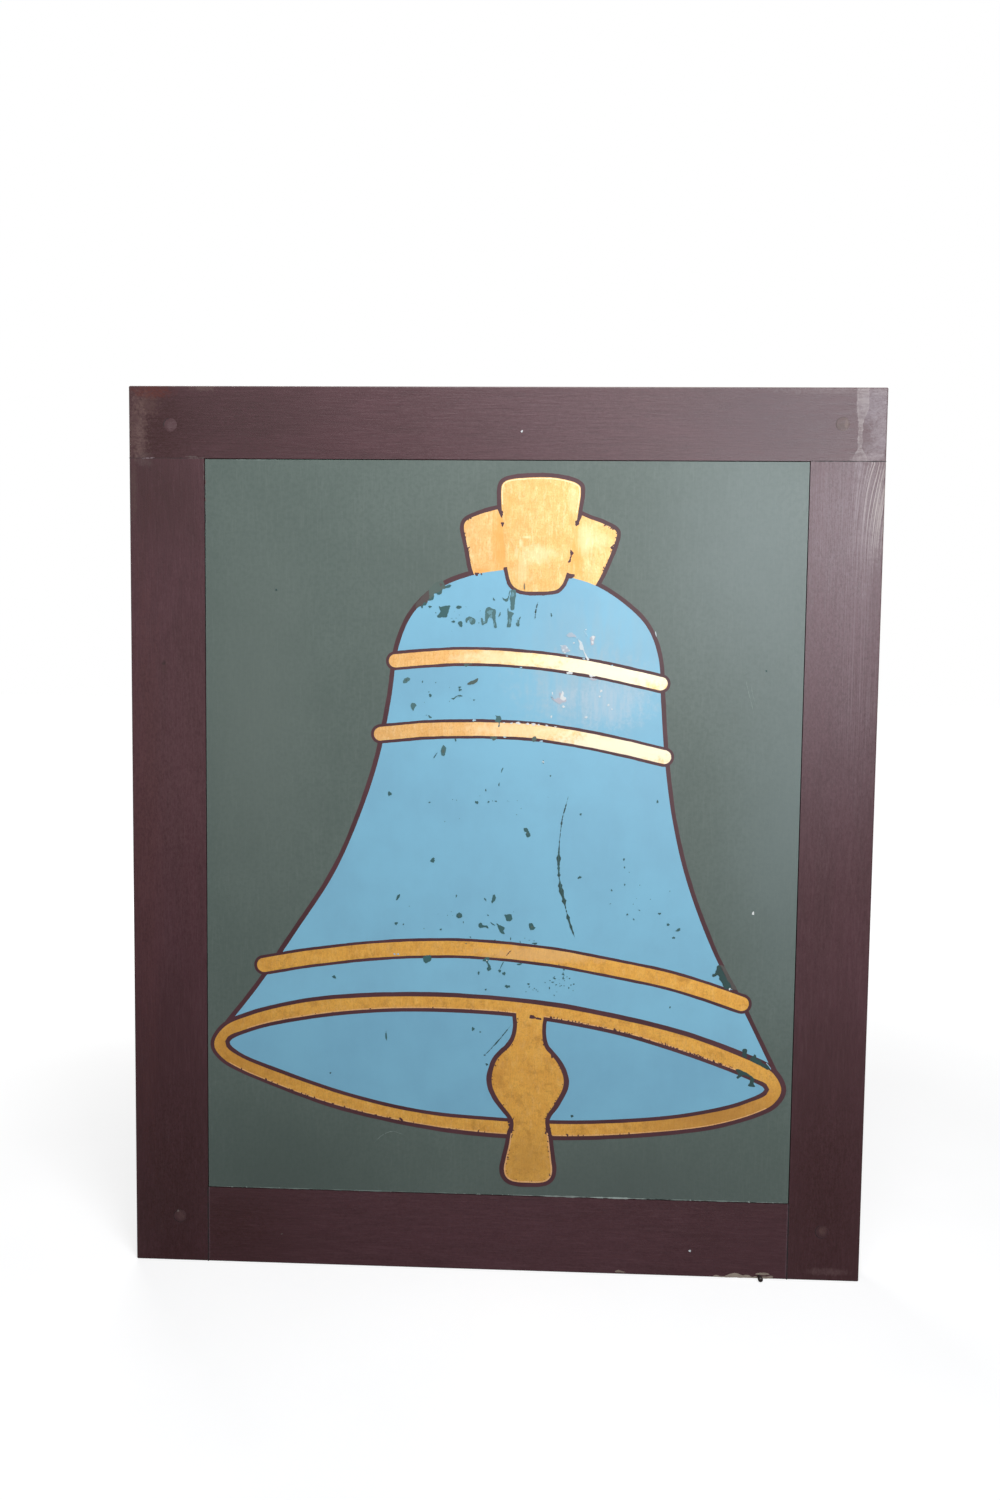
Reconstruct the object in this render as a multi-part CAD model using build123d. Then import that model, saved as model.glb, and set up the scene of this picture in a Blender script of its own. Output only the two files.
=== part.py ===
from build123d import *
import math
import os

# A tavern sign board: a pegged timber frame with a flush plywood panel in its front and another
# in its back. Millimetres. X runs to the right as one faces the painted front, Z runs up, and the
# front looks towards -Y. The origin is the middle of the bottom edge, half way through the frame.

# The whole board
sign_width = 1016.0
sign_height = 1220.0
frame_thickness = 44.0
arris_radius = 2.0

# Frame boards, as wide as they show beside the panels
top_rail_width = 96.5
bottom_rail_width = 108.0
left_stile_width = 103.0
right_stile_width = 99.0

# Panels, each in a rebate, with the lip that both rebates leave between them
panel_thickness = 12.0
panel_gap = 1.2
lip_depth = 16.0

# Pegged tenons at the four corners of the frame
tenon_thickness = 14.0
tenon_margin = 10.0
top_tenon_horn = 38.0
bottom_tenon_horn = 28.0
wood_past_peg = 16.0
peg_diameter = 18.0

# Peg centres were marked by eye, so each corner has its own: the setback is measured from the
# tenon's shoulder, and the inset from the outer edge that the tenon's width is measured from
top_left_peg_setback = 44.5
top_left_peg_inset = 57.0
top_right_peg_setback = 48.5
top_right_peg_inset = 58.0
bottom_left_peg_setback = 40.0
bottom_left_peg_inset = 65.0
bottom_right_peg_setback = 46.5
bottom_right_peg_inset = 70.0

# Battens that stiffen the two panels from between
batten_width = 70.0
stub_tenon_thickness = 8.0
stub_tenon_length = 18.0
stub_tenon_margin = 10.0

# Holes for a pair of hanging eyes in the top edge
hanging_bore_diameter = 10.0
hanging_bore_inset = 24.0
hanging_bore_floor = 16.5

# Square cut brads that hold both panels, punched below the paint
brad_spacing = 250.0
brad_side = 1.8
brad_length = 20.0
brad_set = 1.0

# Clearances: round a tenon, at a mortise's floor, and round a peg or brad
tenon_clearance = 0.1
mortise_floor_gap = 1.5
fastener_clearance = 0.05

# Faces and edges that several pieces share
left_side = -sign_width / 2
right_side = sign_width / 2
front_face = -frame_thickness / 2
back_face = frame_thickness / 2
rebate_front = front_face + panel_thickness
rebate_back = back_face - panel_thickness
opening_left = left_side + left_stile_width
opening_right = right_side - right_stile_width
opening_bottom = bottom_rail_width
opening_top = sign_height - top_rail_width
lip_left = opening_left + lip_depth
lip_right = opening_right - lip_depth
lip_bottom = opening_bottom + lip_depth
lip_top = opening_top - lip_depth
batten_x = (opening_left + opening_right) / 2
batten_z = (opening_bottom + opening_top) / 2
half_batten = batten_width / 2

FULL_THICKNESS = (front_face, back_face)
LIP_THICKNESS = (rebate_front, rebate_back)
TENON_THICKNESS = (-tenon_thickness / 2, tenon_thickness / 2)
STUB_THICKNESS = (-stub_tenon_thickness / 2, stub_tenon_thickness / 2)


def block(x_range, y_range, z_range):
    """A squared piece of timber between a low and a high side along each axis."""
    ranges = (x_range, y_range, z_range)
    middle = [(low + high) / 2 for low, high in ranges]
    return Pos(*middle) * Box(*[high - low for low, high in ranges])


def grown(side_range, by):
    """A range with the same room added at both ends."""
    return (side_range[0] - by, side_range[1] + by)


def rod(x, z, diameter, y_range):
    """A round piece through the board, from one depth to another."""
    middle = (y_range[0] + y_range[1]) / 2
    return Pos(x, middle, z) * Rot(90, 0, 0) * Cylinder(diameter / 2, y_range[1] - y_range[0])


def with_eased_arrises(timber):
    """Rounds each edge in which two of the board's outer faces meet, and leaves the joints sharp."""
    outer = {"X": (left_side, right_side), "Y": FULL_THICKNESS, "Z": (0.0, sign_height)}

    def outer_faces(edge):
        count = 0
        for axis, places in outer.items():
            for place in places:
                count += all(abs(getattr(v, axis) - place) < 1e-6 for v in edge.vertices())
        return count

    return fillet([edge for edge in timber.edges() if outer_faces(edge) == 2], arris_radius)


# Corner joints. Each stile stands up into the top rail, and the bottom rail runs into both stiles
top_tenons = {
    "left": (left_side + top_tenon_horn, opening_left - tenon_margin),
    "right": (opening_right + tenon_margin, right_side - top_tenon_horn),
}
bottom_tenon = (bottom_tenon_horn, bottom_rail_width - tenon_margin)
peg_places = {
    "top_left": (left_side + top_left_peg_inset, opening_top + top_left_peg_setback),
    "top_right": (right_side - top_right_peg_inset, opening_top + top_right_peg_setback),
    "bottom_left": (opening_left - bottom_left_peg_setback, bottom_left_peg_inset),
    "bottom_right": (opening_right + bottom_right_peg_setback, bottom_right_peg_inset),
}
past_peg = peg_diameter / 2 + wood_past_peg
top_tenon_ends = {
    "left": opening_top + top_left_peg_setback + past_peg,
    "right": opening_top + top_right_peg_setback + past_peg,
}
bottom_tenon_ends = {
    "left": opening_left - bottom_left_peg_setback - past_peg,
    "right": opening_right + bottom_right_peg_setback + past_peg,
}


def top_tenon_or_mortise(side, room, floor_gap):
    """The tenon on top of a stile, or with room and a floor gap, the mortise that takes it."""
    return block(
        grown(top_tenons[side], room),
        grown(TENON_THICKNESS, room),
        (opening_top, top_tenon_ends[side] + floor_gap),
    )


def bottom_tenon_or_mortise(side, room, floor_gap):
    """The tenon at an end of the bottom rail, or with room and a floor gap, its mortise."""
    if side == "left":
        x_range = (bottom_tenon_ends[side] - floor_gap, opening_left)
    else:
        x_range = (opening_right, bottom_tenon_ends[side] + floor_gap)
    return block(x_range, grown(TENON_THICKNESS, room), grown(bottom_tenon, room))


def stub_along_x(x_shoulder, outwards, room, floor_gap):
    """A stub tenon at an end of the cross batten, or its mortise in a stile's lip."""
    reach = x_shoulder + outwards * (stub_tenon_length + floor_gap)
    z_range = (batten_z - half_batten + stub_tenon_margin, batten_z + half_batten - stub_tenon_margin)
    x_range = (min(x_shoulder, reach), max(x_shoulder, reach))
    return block(x_range, grown(STUB_THICKNESS, room), grown(z_range, room))


def stub_along_z(z_shoulder, outwards, room, floor_gap):
    """A stub tenon at an end of an upright batten, or its mortise in a rail or the cross batten."""
    reach = z_shoulder + outwards * (stub_tenon_length + floor_gap)
    x_range = (batten_x - half_batten + stub_tenon_margin, batten_x + half_batten - stub_tenon_margin)
    z_range = (min(z_shoulder, reach), max(z_shoulder, reach))
    return block(grown(x_range, room), grown(STUB_THICKNESS, room), z_range)


# Where each upright batten's shoulders bear, lower and upper
lower_shoulders = (lip_bottom, batten_z - half_batten)
upper_shoulders = (batten_z + half_batten, lip_top)


def spaced(low, high, share):
    """Even places a brad spacing apart at most: share 0 has one on each end, 0.5 is half way on."""
    gaps = math.ceil((high - low) / brad_spacing)
    count = gaps + 1 if share == 0 else gaps
    return [low + (high - low) * (i + share) / gaps for i in range(count)]


def between(low, high, share):
    """The same places without any on the ends themselves."""
    return [place for place in spaced(low, high, share) if low < place < high]


def brad_places(share):
    """Where one panel is nailed: to the middle of the lip all round, and to each batten."""
    half_lip = lip_depth / 2
    low_x, high_x = opening_left + half_lip, opening_right - half_lip
    low_z, high_z = opening_bottom + half_lip, opening_top - half_lip
    places = [(x, z) for z in (low_z, high_z) for x in spaced(low_x, high_x, share)]
    places += [(x, z) for x in (low_x, high_x) for z in between(low_z, high_z, share)]
    places += [(x, batten_z) for x in between(lip_left, lip_right, share)]
    for shoulders in (lower_shoulders, upper_shoulders):
        places += [(batten_x, z) for z in between(*shoulders, share)]
    return places


def brad(x, z, inwards, room):
    """A brad driven in from a face, its head punched a little below it."""
    head = -inwards * (frame_thickness / 2 - brad_set)
    tip = head + inwards * (brad_length + room)
    section = grown((-brad_side / 2, brad_side / 2), room)
    return Pos(x, 0, z) * block(section, (min(head, tip), max(head, tip)), section)


def brads(face, room):
    """All the brads in one face, or with room the holes they leave. The two faces' are staggered."""
    inwards, share = {"front": (1, 0.5), "back": (-1, 0)}[face]
    return [brad(x, z, inwards, room) for x, z in brad_places(share)]


brad_holes = brads("front", fastener_clearance) + brads("back", fastener_clearance)
peg_holes = [
    rod(x, z, peg_diameter + 2 * fastener_clearance, FULL_THICKNESS)
    for x, z in peg_places.values()
]


def bored(timber, holes):
    """Cuts every hole whose box reaches into the timber's box."""
    own = timber.bounding_box()
    near = [hole for hole in holes if own.overlaps(hole.bounding_box())]
    return timber - near if near else timber


def top_rail():
    """The full-width top board, with a mortise over each stile and a bore for each hanging eye."""
    rail = block((left_side, right_side), FULL_THICKNESS, (opening_top, sign_height))
    rail = with_eased_arrises(rail)
    rail += block((opening_left, opening_right), LIP_THICKNESS, (lip_top, opening_top))
    for side in ("left", "right"):
        rail -= top_tenon_or_mortise(side, tenon_clearance, mortise_floor_gap)
    rail -= stub_along_z(lip_top, 1, tenon_clearance, mortise_floor_gap)
    depth = top_rail_width - hanging_bore_floor
    for x in (left_side + hanging_bore_inset, right_side - hanging_bore_inset):
        rail -= Pos(x, 0, sign_height - depth / 2) * Cylinder(hanging_bore_diameter / 2, depth)
    return bored(rail, peg_holes + brad_holes)


def bottom_rail():
    """The bottom board between the stiles, with a tenon at each end."""
    rail = block((opening_left, opening_right), FULL_THICKNESS, (0, opening_bottom))
    rail = with_eased_arrises(rail)
    rail += block((opening_left, opening_right), LIP_THICKNESS, (opening_bottom, lip_bottom))
    for side in ("left", "right"):
        rail += bottom_tenon_or_mortise(side, 0, 0)
    rail -= stub_along_z(lip_bottom, -1, tenon_clearance, mortise_floor_gap)
    return bored(rail, peg_holes + brad_holes)


def stile(side):
    """An upright board from the bottom edge to the top rail, with a tenon on its top."""
    if side == "left":
        outer, inner, lip, outwards = left_side, opening_left, lip_left, -1
    else:
        outer, inner, lip, outwards = right_side, opening_right, lip_right, 1
    board = block((min(outer, inner), max(outer, inner)), FULL_THICKNESS, (0, opening_top))
    board = with_eased_arrises(board)
    board += block((min(inner, lip), max(inner, lip)), LIP_THICKNESS, (lip_bottom, lip_top))
    board += top_tenon_or_mortise(side, 0, 0)
    board -= bottom_tenon_or_mortise(side, tenon_clearance, mortise_floor_gap)
    board -= stub_along_x(lip, outwards, tenon_clearance, mortise_floor_gap)
    return bored(board, peg_holes + brad_holes)


def cross_batten():
    """The level batten at mid height, stub tenoned into both stiles."""
    z_range = (batten_z - half_batten, batten_z + half_batten)
    batten = block((lip_left, lip_right), LIP_THICKNESS, z_range)
    batten += stub_along_x(lip_left, -1, 0, 0)
    batten += stub_along_x(lip_right, 1, 0, 0)
    batten -= stub_along_z(z_range[0], 1, tenon_clearance, mortise_floor_gap)
    batten -= stub_along_z(z_range[1], -1, tenon_clearance, mortise_floor_gap)
    return bored(batten, brad_holes)


def upright_batten(shoulders):
    """A batten up the middle of one half of the cavity, stub tenoned at both ends."""
    batten = block((batten_x - half_batten, batten_x + half_batten), LIP_THICKNESS, shoulders)
    batten += stub_along_z(shoulders[0], -1, 0, 0)
    batten += stub_along_z(shoulders[1], 1, 0, 0)
    return bored(batten, brad_holes)


def panel(y_range):
    """A plywood panel that fills the opening but for an even gap round its edge."""
    sheet = block(
        grown((opening_left, opening_right), -panel_gap),
        y_range,
        grown((opening_bottom, opening_top), -panel_gap),
    )
    return bored(sheet, brad_holes)


pieces = {
    "top_rail": top_rail(),
    "bottom_rail": bottom_rail(),
    "left_stile": stile("left"),
    "right_stile": stile("right"),
    "cross_batten": cross_batten(),
    "lower_batten": upright_batten(lower_shoulders),
    "upper_batten": upright_batten(upper_shoulders),
    "front_panel": panel((front_face, rebate_front)),
    "back_panel": panel((rebate_back, back_face)),
    "front_panel_brads": Compound(brads("front", 0)),
    "back_panel_brads": Compound(brads("back", 0)),
}
for corner, (x, z) in peg_places.items():
    pieces[corner + "_peg"] = rod(x, z, peg_diameter, FULL_THICKNESS)

os.makedirs("parts", exist_ok=True)
for name, piece in pieces.items():
    export_step(piece, "parts/" + name + ".step")
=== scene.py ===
import math

import bmesh
import bpy
import numpy as np
from mathutils import Matrix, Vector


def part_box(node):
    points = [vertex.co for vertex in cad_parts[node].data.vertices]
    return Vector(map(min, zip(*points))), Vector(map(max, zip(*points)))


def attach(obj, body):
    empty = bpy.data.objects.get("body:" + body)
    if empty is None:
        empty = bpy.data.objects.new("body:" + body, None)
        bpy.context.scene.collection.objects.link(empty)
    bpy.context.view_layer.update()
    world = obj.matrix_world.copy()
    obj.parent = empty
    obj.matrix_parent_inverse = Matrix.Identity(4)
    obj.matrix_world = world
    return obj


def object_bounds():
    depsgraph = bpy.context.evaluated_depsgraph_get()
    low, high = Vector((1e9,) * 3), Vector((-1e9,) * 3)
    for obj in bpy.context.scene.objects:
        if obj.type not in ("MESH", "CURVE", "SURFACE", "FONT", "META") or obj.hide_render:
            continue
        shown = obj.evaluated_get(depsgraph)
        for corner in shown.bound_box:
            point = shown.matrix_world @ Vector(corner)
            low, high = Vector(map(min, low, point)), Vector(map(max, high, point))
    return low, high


# A tavern sign: a maroon timber frame round a flush green panel, with a blue and gold bell painted
# on its front. The picture's places are in millimetres on the panel: x to the right of the middle
# of the sign, z up from its bottom edge.

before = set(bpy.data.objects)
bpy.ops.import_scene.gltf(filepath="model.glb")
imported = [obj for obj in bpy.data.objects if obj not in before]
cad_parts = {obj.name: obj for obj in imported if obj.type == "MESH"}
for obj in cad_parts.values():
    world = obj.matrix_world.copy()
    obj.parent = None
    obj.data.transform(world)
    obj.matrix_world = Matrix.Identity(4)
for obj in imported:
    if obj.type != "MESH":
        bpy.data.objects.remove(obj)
cad_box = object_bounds()

MM = 0.001
sign_low, sign_high = [[side / MM for side in corner] for corner in cad_box]
panel_low, panel_high = [[side / MM for side in corner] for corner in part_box("front_panel")]
front_y = panel_low[1]
panel_gap = 1.2
joint_left, joint_right = panel_low[0] - panel_gap, panel_high[0] + panel_gap
joint_foot, joint_top = panel_low[2] - panel_gap, panel_high[2] + panel_gap
sign_height = sign_high[2]
edge_inset = 0.05
side_left, side_right = sign_low[0] + edge_inset, sign_high[0] - edge_inset

# A film's layer is how many film thicknesses its front stands off the panel. The flakes of one
# piece are spread over a share of a layer, so that no two of them lie in one plane.
film_thickness = 0.05
film_sunk = 0.04
layer_spread = 0.09
line_width = 6.5
thin_line_width = 4.0
steps_a_stretch = 24
merge_distance = 1e-7


# Curves

def smooth_line(points, count):
    """A curve through the points: on each stretch a cubic whose slope at every point is the
    distance-weighted mean of its two stretches' slopes. Returned at even steps of its length."""
    return even_steps(dense_line(np.array(points, float), False), count)


def dense_line(points, closed, steps=steps_a_stretch):
    """The same cubics at a fixed number of steps a stretch, with the last point at the end."""
    if closed:
        ring = np.vstack([points[-1:], points, points[:2]])
    else:
        before, after = 2 * points[0] - points[1], 2 * points[-1] - points[-2]
        ring = np.vstack([before, points, after])
    leap = np.diff(ring, axis=0)
    gap = np.sqrt(np.hypot(leap[:, 0], leap[:, 1]))[:, None]
    slope = leap / gap
    tangent = (slope[:-1] * gap[1:] + slope[1:] * gap[:-1]) / (gap[:-1] + gap[1:])
    start, end, span = ring[1:-2], ring[2:-1], gap[1:-1]
    t = (np.arange(steps) / steps)[None, :, None]
    from_start = (2 * t**3 - 3 * t**2 + 1) * start[:, None]
    to_end = (3 * t**2 - 2 * t**3) * end[:, None]
    leaving = (t**3 - 2 * t**2 + t) * (span * tangent[:-1])[:, None]
    arriving = (t**3 - t**2) * (span * tangent[1:])[:, None]
    curve = (from_start + to_end + leaving + arriving).reshape(-1, 2)
    return np.vstack([curve, end[-1:]])


def distances(path):
    """How far along a path each of its points is."""
    return np.concatenate([[0.0], np.cumsum(np.hypot(*np.diff(path, axis=0).T))])


def at_steps(steps, marks, path):
    """The points of a path at given steps, where marks are the steps of the path's own points."""
    return np.stack([np.interp(steps, marks, path[:, axis]) for axis in (0, 1)], 1)


def even_steps(curve, count):
    """The same curve with its points an even length apart."""
    along = distances(curve)
    return at_steps(np.linspace(0.0, along[-1], count), along, curve)


def outline(side_a, side_b, count):
    """Both sides of one smooth closed line. side_a runs from its first tip to its second, tips
    included, and side_b has the points between the tips, in the same direction."""
    ring = np.array(list(side_a) + list(side_b)[::-1], float)
    dense = dense_line(ring, True)
    turn = (len(side_a) - 1) * steps_a_stretch
    return even_steps(dense[: turn + 1], count), even_steps(dense[turn:][::-1], count)


def normals(path, closed):
    """Unit normals to the left of a path, from the difference of each point's neighbours."""
    if closed:
        along = np.roll(path, -1, axis=0) - np.roll(path, 1, axis=0)
    else:
        along = np.gradient(path, axis=0)
    along = along / np.hypot(along[:, 0], along[:, 1])[:, None]
    return np.stack([-along[:, 1], along[:, 0]], 1)


def shifted(path, by):
    """A path moved to its left by a distance, which may differ along it."""
    return path + normals(path, False) * np.reshape(by, (-1, 1))


def widened(sides, by, wobble, seed):
    """A closed outline moved outwards along its normals by a distance with a little wobble. The
    distance may be one for each point of side_a and then of side_b from its last point back."""
    side_a, side_b = sides
    ring = np.vstack([side_a, side_b[-2:0:-1]])
    area = np.sum(ring[:, 0] * np.roll(ring[:, 1], -1) - ring[:, 1] * np.roll(ring[:, 0], -1))
    out = by + wavy(len(ring), wobble, seed, closed=True)
    ring = ring - np.sign(area) * normals(ring, True) * out[:, None]
    turn = len(side_a)
    return ring[:turn], np.vstack([ring[:1], ring[:turn - 2:-1]])


def wavy(count, size, seed, closed=False):
    """The unevenness of a line drawn by hand: a sum of six sines of falling height along it."""
    rng = np.random.default_rng(seed)
    t = np.arange(count) / (count if closed else max(count - 1, 1))
    waves = np.array([3, 7, 12, 19, 31, 47])
    phases = rng.uniform(0, 2 * math.pi, len(waves))
    heights = size / np.sqrt(waves / waves[0])
    return (np.sin(2 * math.pi * waves * t[:, None] + phases) * heights).sum(1) / 2


def between(path, low, high):
    """The part of a path whose x is between two values."""
    return path[(path[:, 0] > low) & (path[:, 0] < high)]


# Films of paint

def finished(name, points, faces, material):
    """Puts points in millimetres into a mesh object at the origin, merges what coincides, turns
    its faces outwards and makes it ride on the sign."""
    mesh = bpy.data.meshes.new(name)
    mesh.from_pydata((points * MM).tolist(), [], faces)
    shape = bmesh.new()
    shape.from_mesh(mesh)
    bmesh.ops.remove_doubles(shape, verts=shape.verts, dist=merge_distance)
    bmesh.ops.recalc_face_normals(shape, faces=shape.faces)
    shape.to_mesh(mesh)
    shape.free()
    piece = bpy.data.objects.new(name, mesh)
    bpy.context.scene.collection.objects.link(piece)
    mesh.materials.append(material)
    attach(piece, "root")
    return piece


def upright(flat, depth):
    """Flat places, x and z, as points at a depth, which is one for all or one for each."""
    return np.stack(np.broadcast_arrays(flat[..., 0], depth, flat[..., 1]), -1).reshape(-1, 3)


def film(flat, layer):
    """The points of a film of paint: its places on its front, which stands a film thickness a layer
    off the panel, and again on its back, which is sunk a little way into the panel."""
    return np.vstack([upright(flat, front_y - film_thickness * layer), upright(flat, front_y + film_sunk)])


def sheet_of_paint(name, side_a, side_b, layer, material):
    """A closed film between two edges that share their steps."""
    count = len(side_a)
    a = np.arange(count - 1)
    b = a + count
    back = 2 * count
    rim = np.concatenate([np.arange(count), np.arange(2 * count - 1, count - 1, -1)])
    after = np.roll(rim, -1)
    faces = np.vstack([
        np.stack([a, b, b + 1, a + 1], 1),
        np.stack([a + 1, b + 1, b, a], 1) + back,
        np.stack([rim, after, after + back, rim + back], 1),
    ])
    return finished(name, film(np.vstack([side_a, side_b]), layer), faces.tolist(), material)


def stroke(name, path, left, right, layer, material):
    """A painted line: the strip from so far left of a path to so far right of it."""
    return sheet_of_paint(name, shifted(path, left), shifted(path, -np.asarray(right)), layer, material)


def bar(name, path, half_width, grow, layer, material, seed):
    """A round-ended bar along a path: half its width falls to nothing at both ends as a circle's
    does, over its own length, and the bar with its ends is grown evenly all round."""
    end_steps, straight_steps, unevenness = 16, 110, 0.35
    reach = half_width + grow
    first, last = path[1] - path[0], path[-1] - path[-2]
    start = path[0] - first / np.hypot(*first) * grow
    end = path[-1] + last / np.hypot(*last) * grow
    along = distances(path)
    places = np.concatenate([[-grow], along, [along[-1] + grow]])
    length = places[-1] - places[0]
    turn = (1 - np.cos(np.linspace(0, math.pi / 2, end_steps))) * reach
    straight = np.linspace(reach, length - reach, straight_steps)[1:-1]
    steps = np.concatenate([turn, straight, length - turn[::-1]])
    line = at_steps(steps + places[0], places, np.vstack([start, path, end]))
    inset = np.clip(np.minimum(steps, length - steps) / reach, 0, 1)
    half = reach * np.sqrt(1 - (1 - inset) ** 2)
    wobble = wavy(len(steps), unevenness, seed) * inset
    return sheet_of_paint(name, shifted(line, half + wobble), shifted(line, -half + wobble), layer, material)


def scratch(name, path, width, layer, material, seed):
    """A scratch: a strip along a smooth path, whose width swells and thins and ends in points."""
    steps, least_half = 60, 0.02
    taper = np.sin(np.linspace(0, math.pi, steps)) ** 0.6
    half = np.clip(width / 2 * taper * (1 + 2.2 * wavy(steps, 0.5, seed)), least_half, None)
    return stroke(name, smooth_line(path, steps), half, half, layer, material)


def joint(name, start, end, width, material, seed):
    """A crack in the paint along a joint: a strip between two places with a wavy width."""
    steps = 80
    half = width / 2 + wavy(steps, width / 5, seed)
    return stroke(name, np.linspace(start, end, steps), half, half, 0.6, material)


def peg_ring(corner, start, end, width, material):
    """The opened joint round a peg: a strip on an arc between two angles in degrees, just outside
    the peg, with thin ends."""
    steps, clear, least_half = 60, 0.1, 0.03
    low, high = [np.array(side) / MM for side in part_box(corner + "_peg")]
    middle, radius = (low + high) / 2, (high[0] - low[0]) / 2 + clear
    turn = np.radians(np.linspace(start, end, steps))
    ring = middle[[0, 2]] + radius * np.stack([np.cos(turn), np.sin(turn)], 1)
    half = width / 2 * np.sin(np.linspace(0, math.pi, steps)) ** 0.5 + least_half
    return stroke("peg_ring_" + corner, ring, half, half, 0.6, material)


def flakes(name, places, layer, material, seed):
    """Ragged flakes in one mesh. Each place gives x, z, width, height and, where it isn't 0, a turn
    in degrees. A flake's edge is an ellipse times one plus four sines of its angle, with phases
    drawn for it."""
    rng = np.random.default_rng(seed)
    spots = np.array([(*place, 0)[:5] for place in places], float)
    steps = 18
    angle = np.arange(steps) / steps * 2 * math.pi
    waves = np.array([2, 3, 5, 7])
    heights = np.array([0.16, 0.16, 0.14, 0.12])
    phases = rng.uniform(0, 2 * math.pi, (len(spots), 1, len(waves)))
    edge = 1 + (np.sin(angle[None, :, None] * waves + phases) * heights).sum(2)
    x, z, width, height, turn = np.hsplit(spots, 5)
    across = edge * np.cos(angle) * width / 2
    up = edge * np.sin(angle) * height / 2
    turn = np.radians(turn)
    edge_x = x + across * np.cos(turn) - up * np.sin(turn)
    edge_z = z + across * np.sin(turn) + up * np.cos(turn)
    flat = np.stack([np.hstack([edge_x, x]), np.hstack([edge_z, z])], 2)
    own_layer = layer + layer_spread * np.arange(len(spots))[:, None] / len(spots)
    ring = np.arange(steps)
    after = np.roll(ring, -1)
    back = len(spots) * (steps + 1)
    first = (np.arange(len(spots)) * (steps + 1))[:, None, None]
    fan = (first + np.stack([np.full(steps, steps), after, ring], 1)).reshape(-1, 3)
    wall = (first + np.stack([ring, after, after + back, ring + back], 1)).reshape(-1, 4)
    faces = fan.tolist() + (fan[:, ::-1] + back).tolist() + wall.tolist()
    return finished(name, film(flat, own_layer), faces, material)


def scattered(seed, clusters):
    """Places for small flakes. Each cluster gives its middle, its spread along x and z, how many
    flakes it has and their usual size."""
    rng = np.random.default_rng(seed)
    places = []
    for x, z, spread_x, spread_z, count, size in clusters:
        centre = rng.normal((x, z), (spread_x, spread_z), (count, 2))
        sizes = size * rng.lognormal(0, 0.45, (count, 2))
        turns = rng.uniform(0, 180, (count, 1))
        places.append(np.hstack([centre, sizes, turns]))
    return np.vstack(places)


def nicks(seed, path, count, size, spread):
    """Places for small flakes along a path: even chances along it, a little to either side."""
    rng = np.random.default_rng(seed)
    steps = rng.uniform(0, len(path) - 1, count)
    spots = at_steps(steps, np.arange(len(path)), path)
    spots = spots + rng.normal(0, spread, (count, 2))
    sizes = size * rng.lognormal(0, 0.5, (count, 2))
    return np.hstack([spots, sizes, rng.uniform(0, 180, (count, 1))])


def chips(name, outlines, layer, material, seed, size=0.55):
    """Chips with ragged edges in one mesh: each outline becomes a smooth closed curve at steps of
    about a millimetre, moved along its normals by a few small sines, and a film is cut to it."""
    fewest, stretch_steps = 16, 8
    points, faces, first = [], [], 0
    for number, corners in enumerate(outlines):
        dense = dense_line(np.array(corners, float), True, stretch_steps)
        count = int(max(fewest, np.hypot(*np.diff(dense, axis=0).T).sum()))
        ring = even_steps(dense, count + 1)[:-1]
        ring = ring + normals(ring, True) * wavy(count, size, seed + number, closed=True)[:, None]
        ring = np.clip(ring, (side_left, edge_inset), (side_right, sign_height - edge_inset))
        points.append(film(ring, layer + layer_spread * number / len(outlines)))
        here = first + np.arange(count)
        after = np.roll(here, -1)
        faces += [here.tolist(), (here + count)[::-1].tolist()]
        faces += np.stack([after, here, here + count, after + count], 1).tolist()
        first += 2 * count
    return finished(name, np.vstack(points), faces, material)


def nail_stub(name, x, z, stations, material, around=20):
    """A round bar that stands out of the panel's face: each station gives how far out it is and
    the radius of its circle, and the first and last circles shrink to points."""
    out, radius = np.array(stations, float).T
    line = upright(np.tile([x, z], (len(out), 1)), front_y - out)
    angle = np.arange(around) / around * 2 * math.pi
    circle = upright(np.stack([np.cos(angle), np.sin(angle)], 1), 0.0)
    points = line[:, None] + radius[:, None, None] * circle
    grid = np.arange(len(line) * around).reshape(len(line), around)
    beside = np.roll(grid, -1, 1)
    quads = np.stack([grid[:-1], beside[:-1], beside[1:], grid[1:]], 2).reshape(-1, 4)
    made = finished(name, points.reshape(-1, 3), quads.tolist(), material)
    made.data.polygons.foreach_set("use_smooth", [True] * len(made.data.polygons))
    return made


# Shader tools. A colour is written as it shows on a screen, red, green and blue from 0 to 255.

def linear(colour):
    """A colour as linear red, green, blue and alpha. A socket stays as it is."""
    if isinstance(colour, bpy.types.NodeSocket):
        return colour
    shown = np.array(colour) / 255
    light = np.where(shown <= 0.04045, shown / 12.92, ((shown + 0.055) / 1.055) ** 2.4)
    return (*light.tolist(), 1.0)


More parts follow.
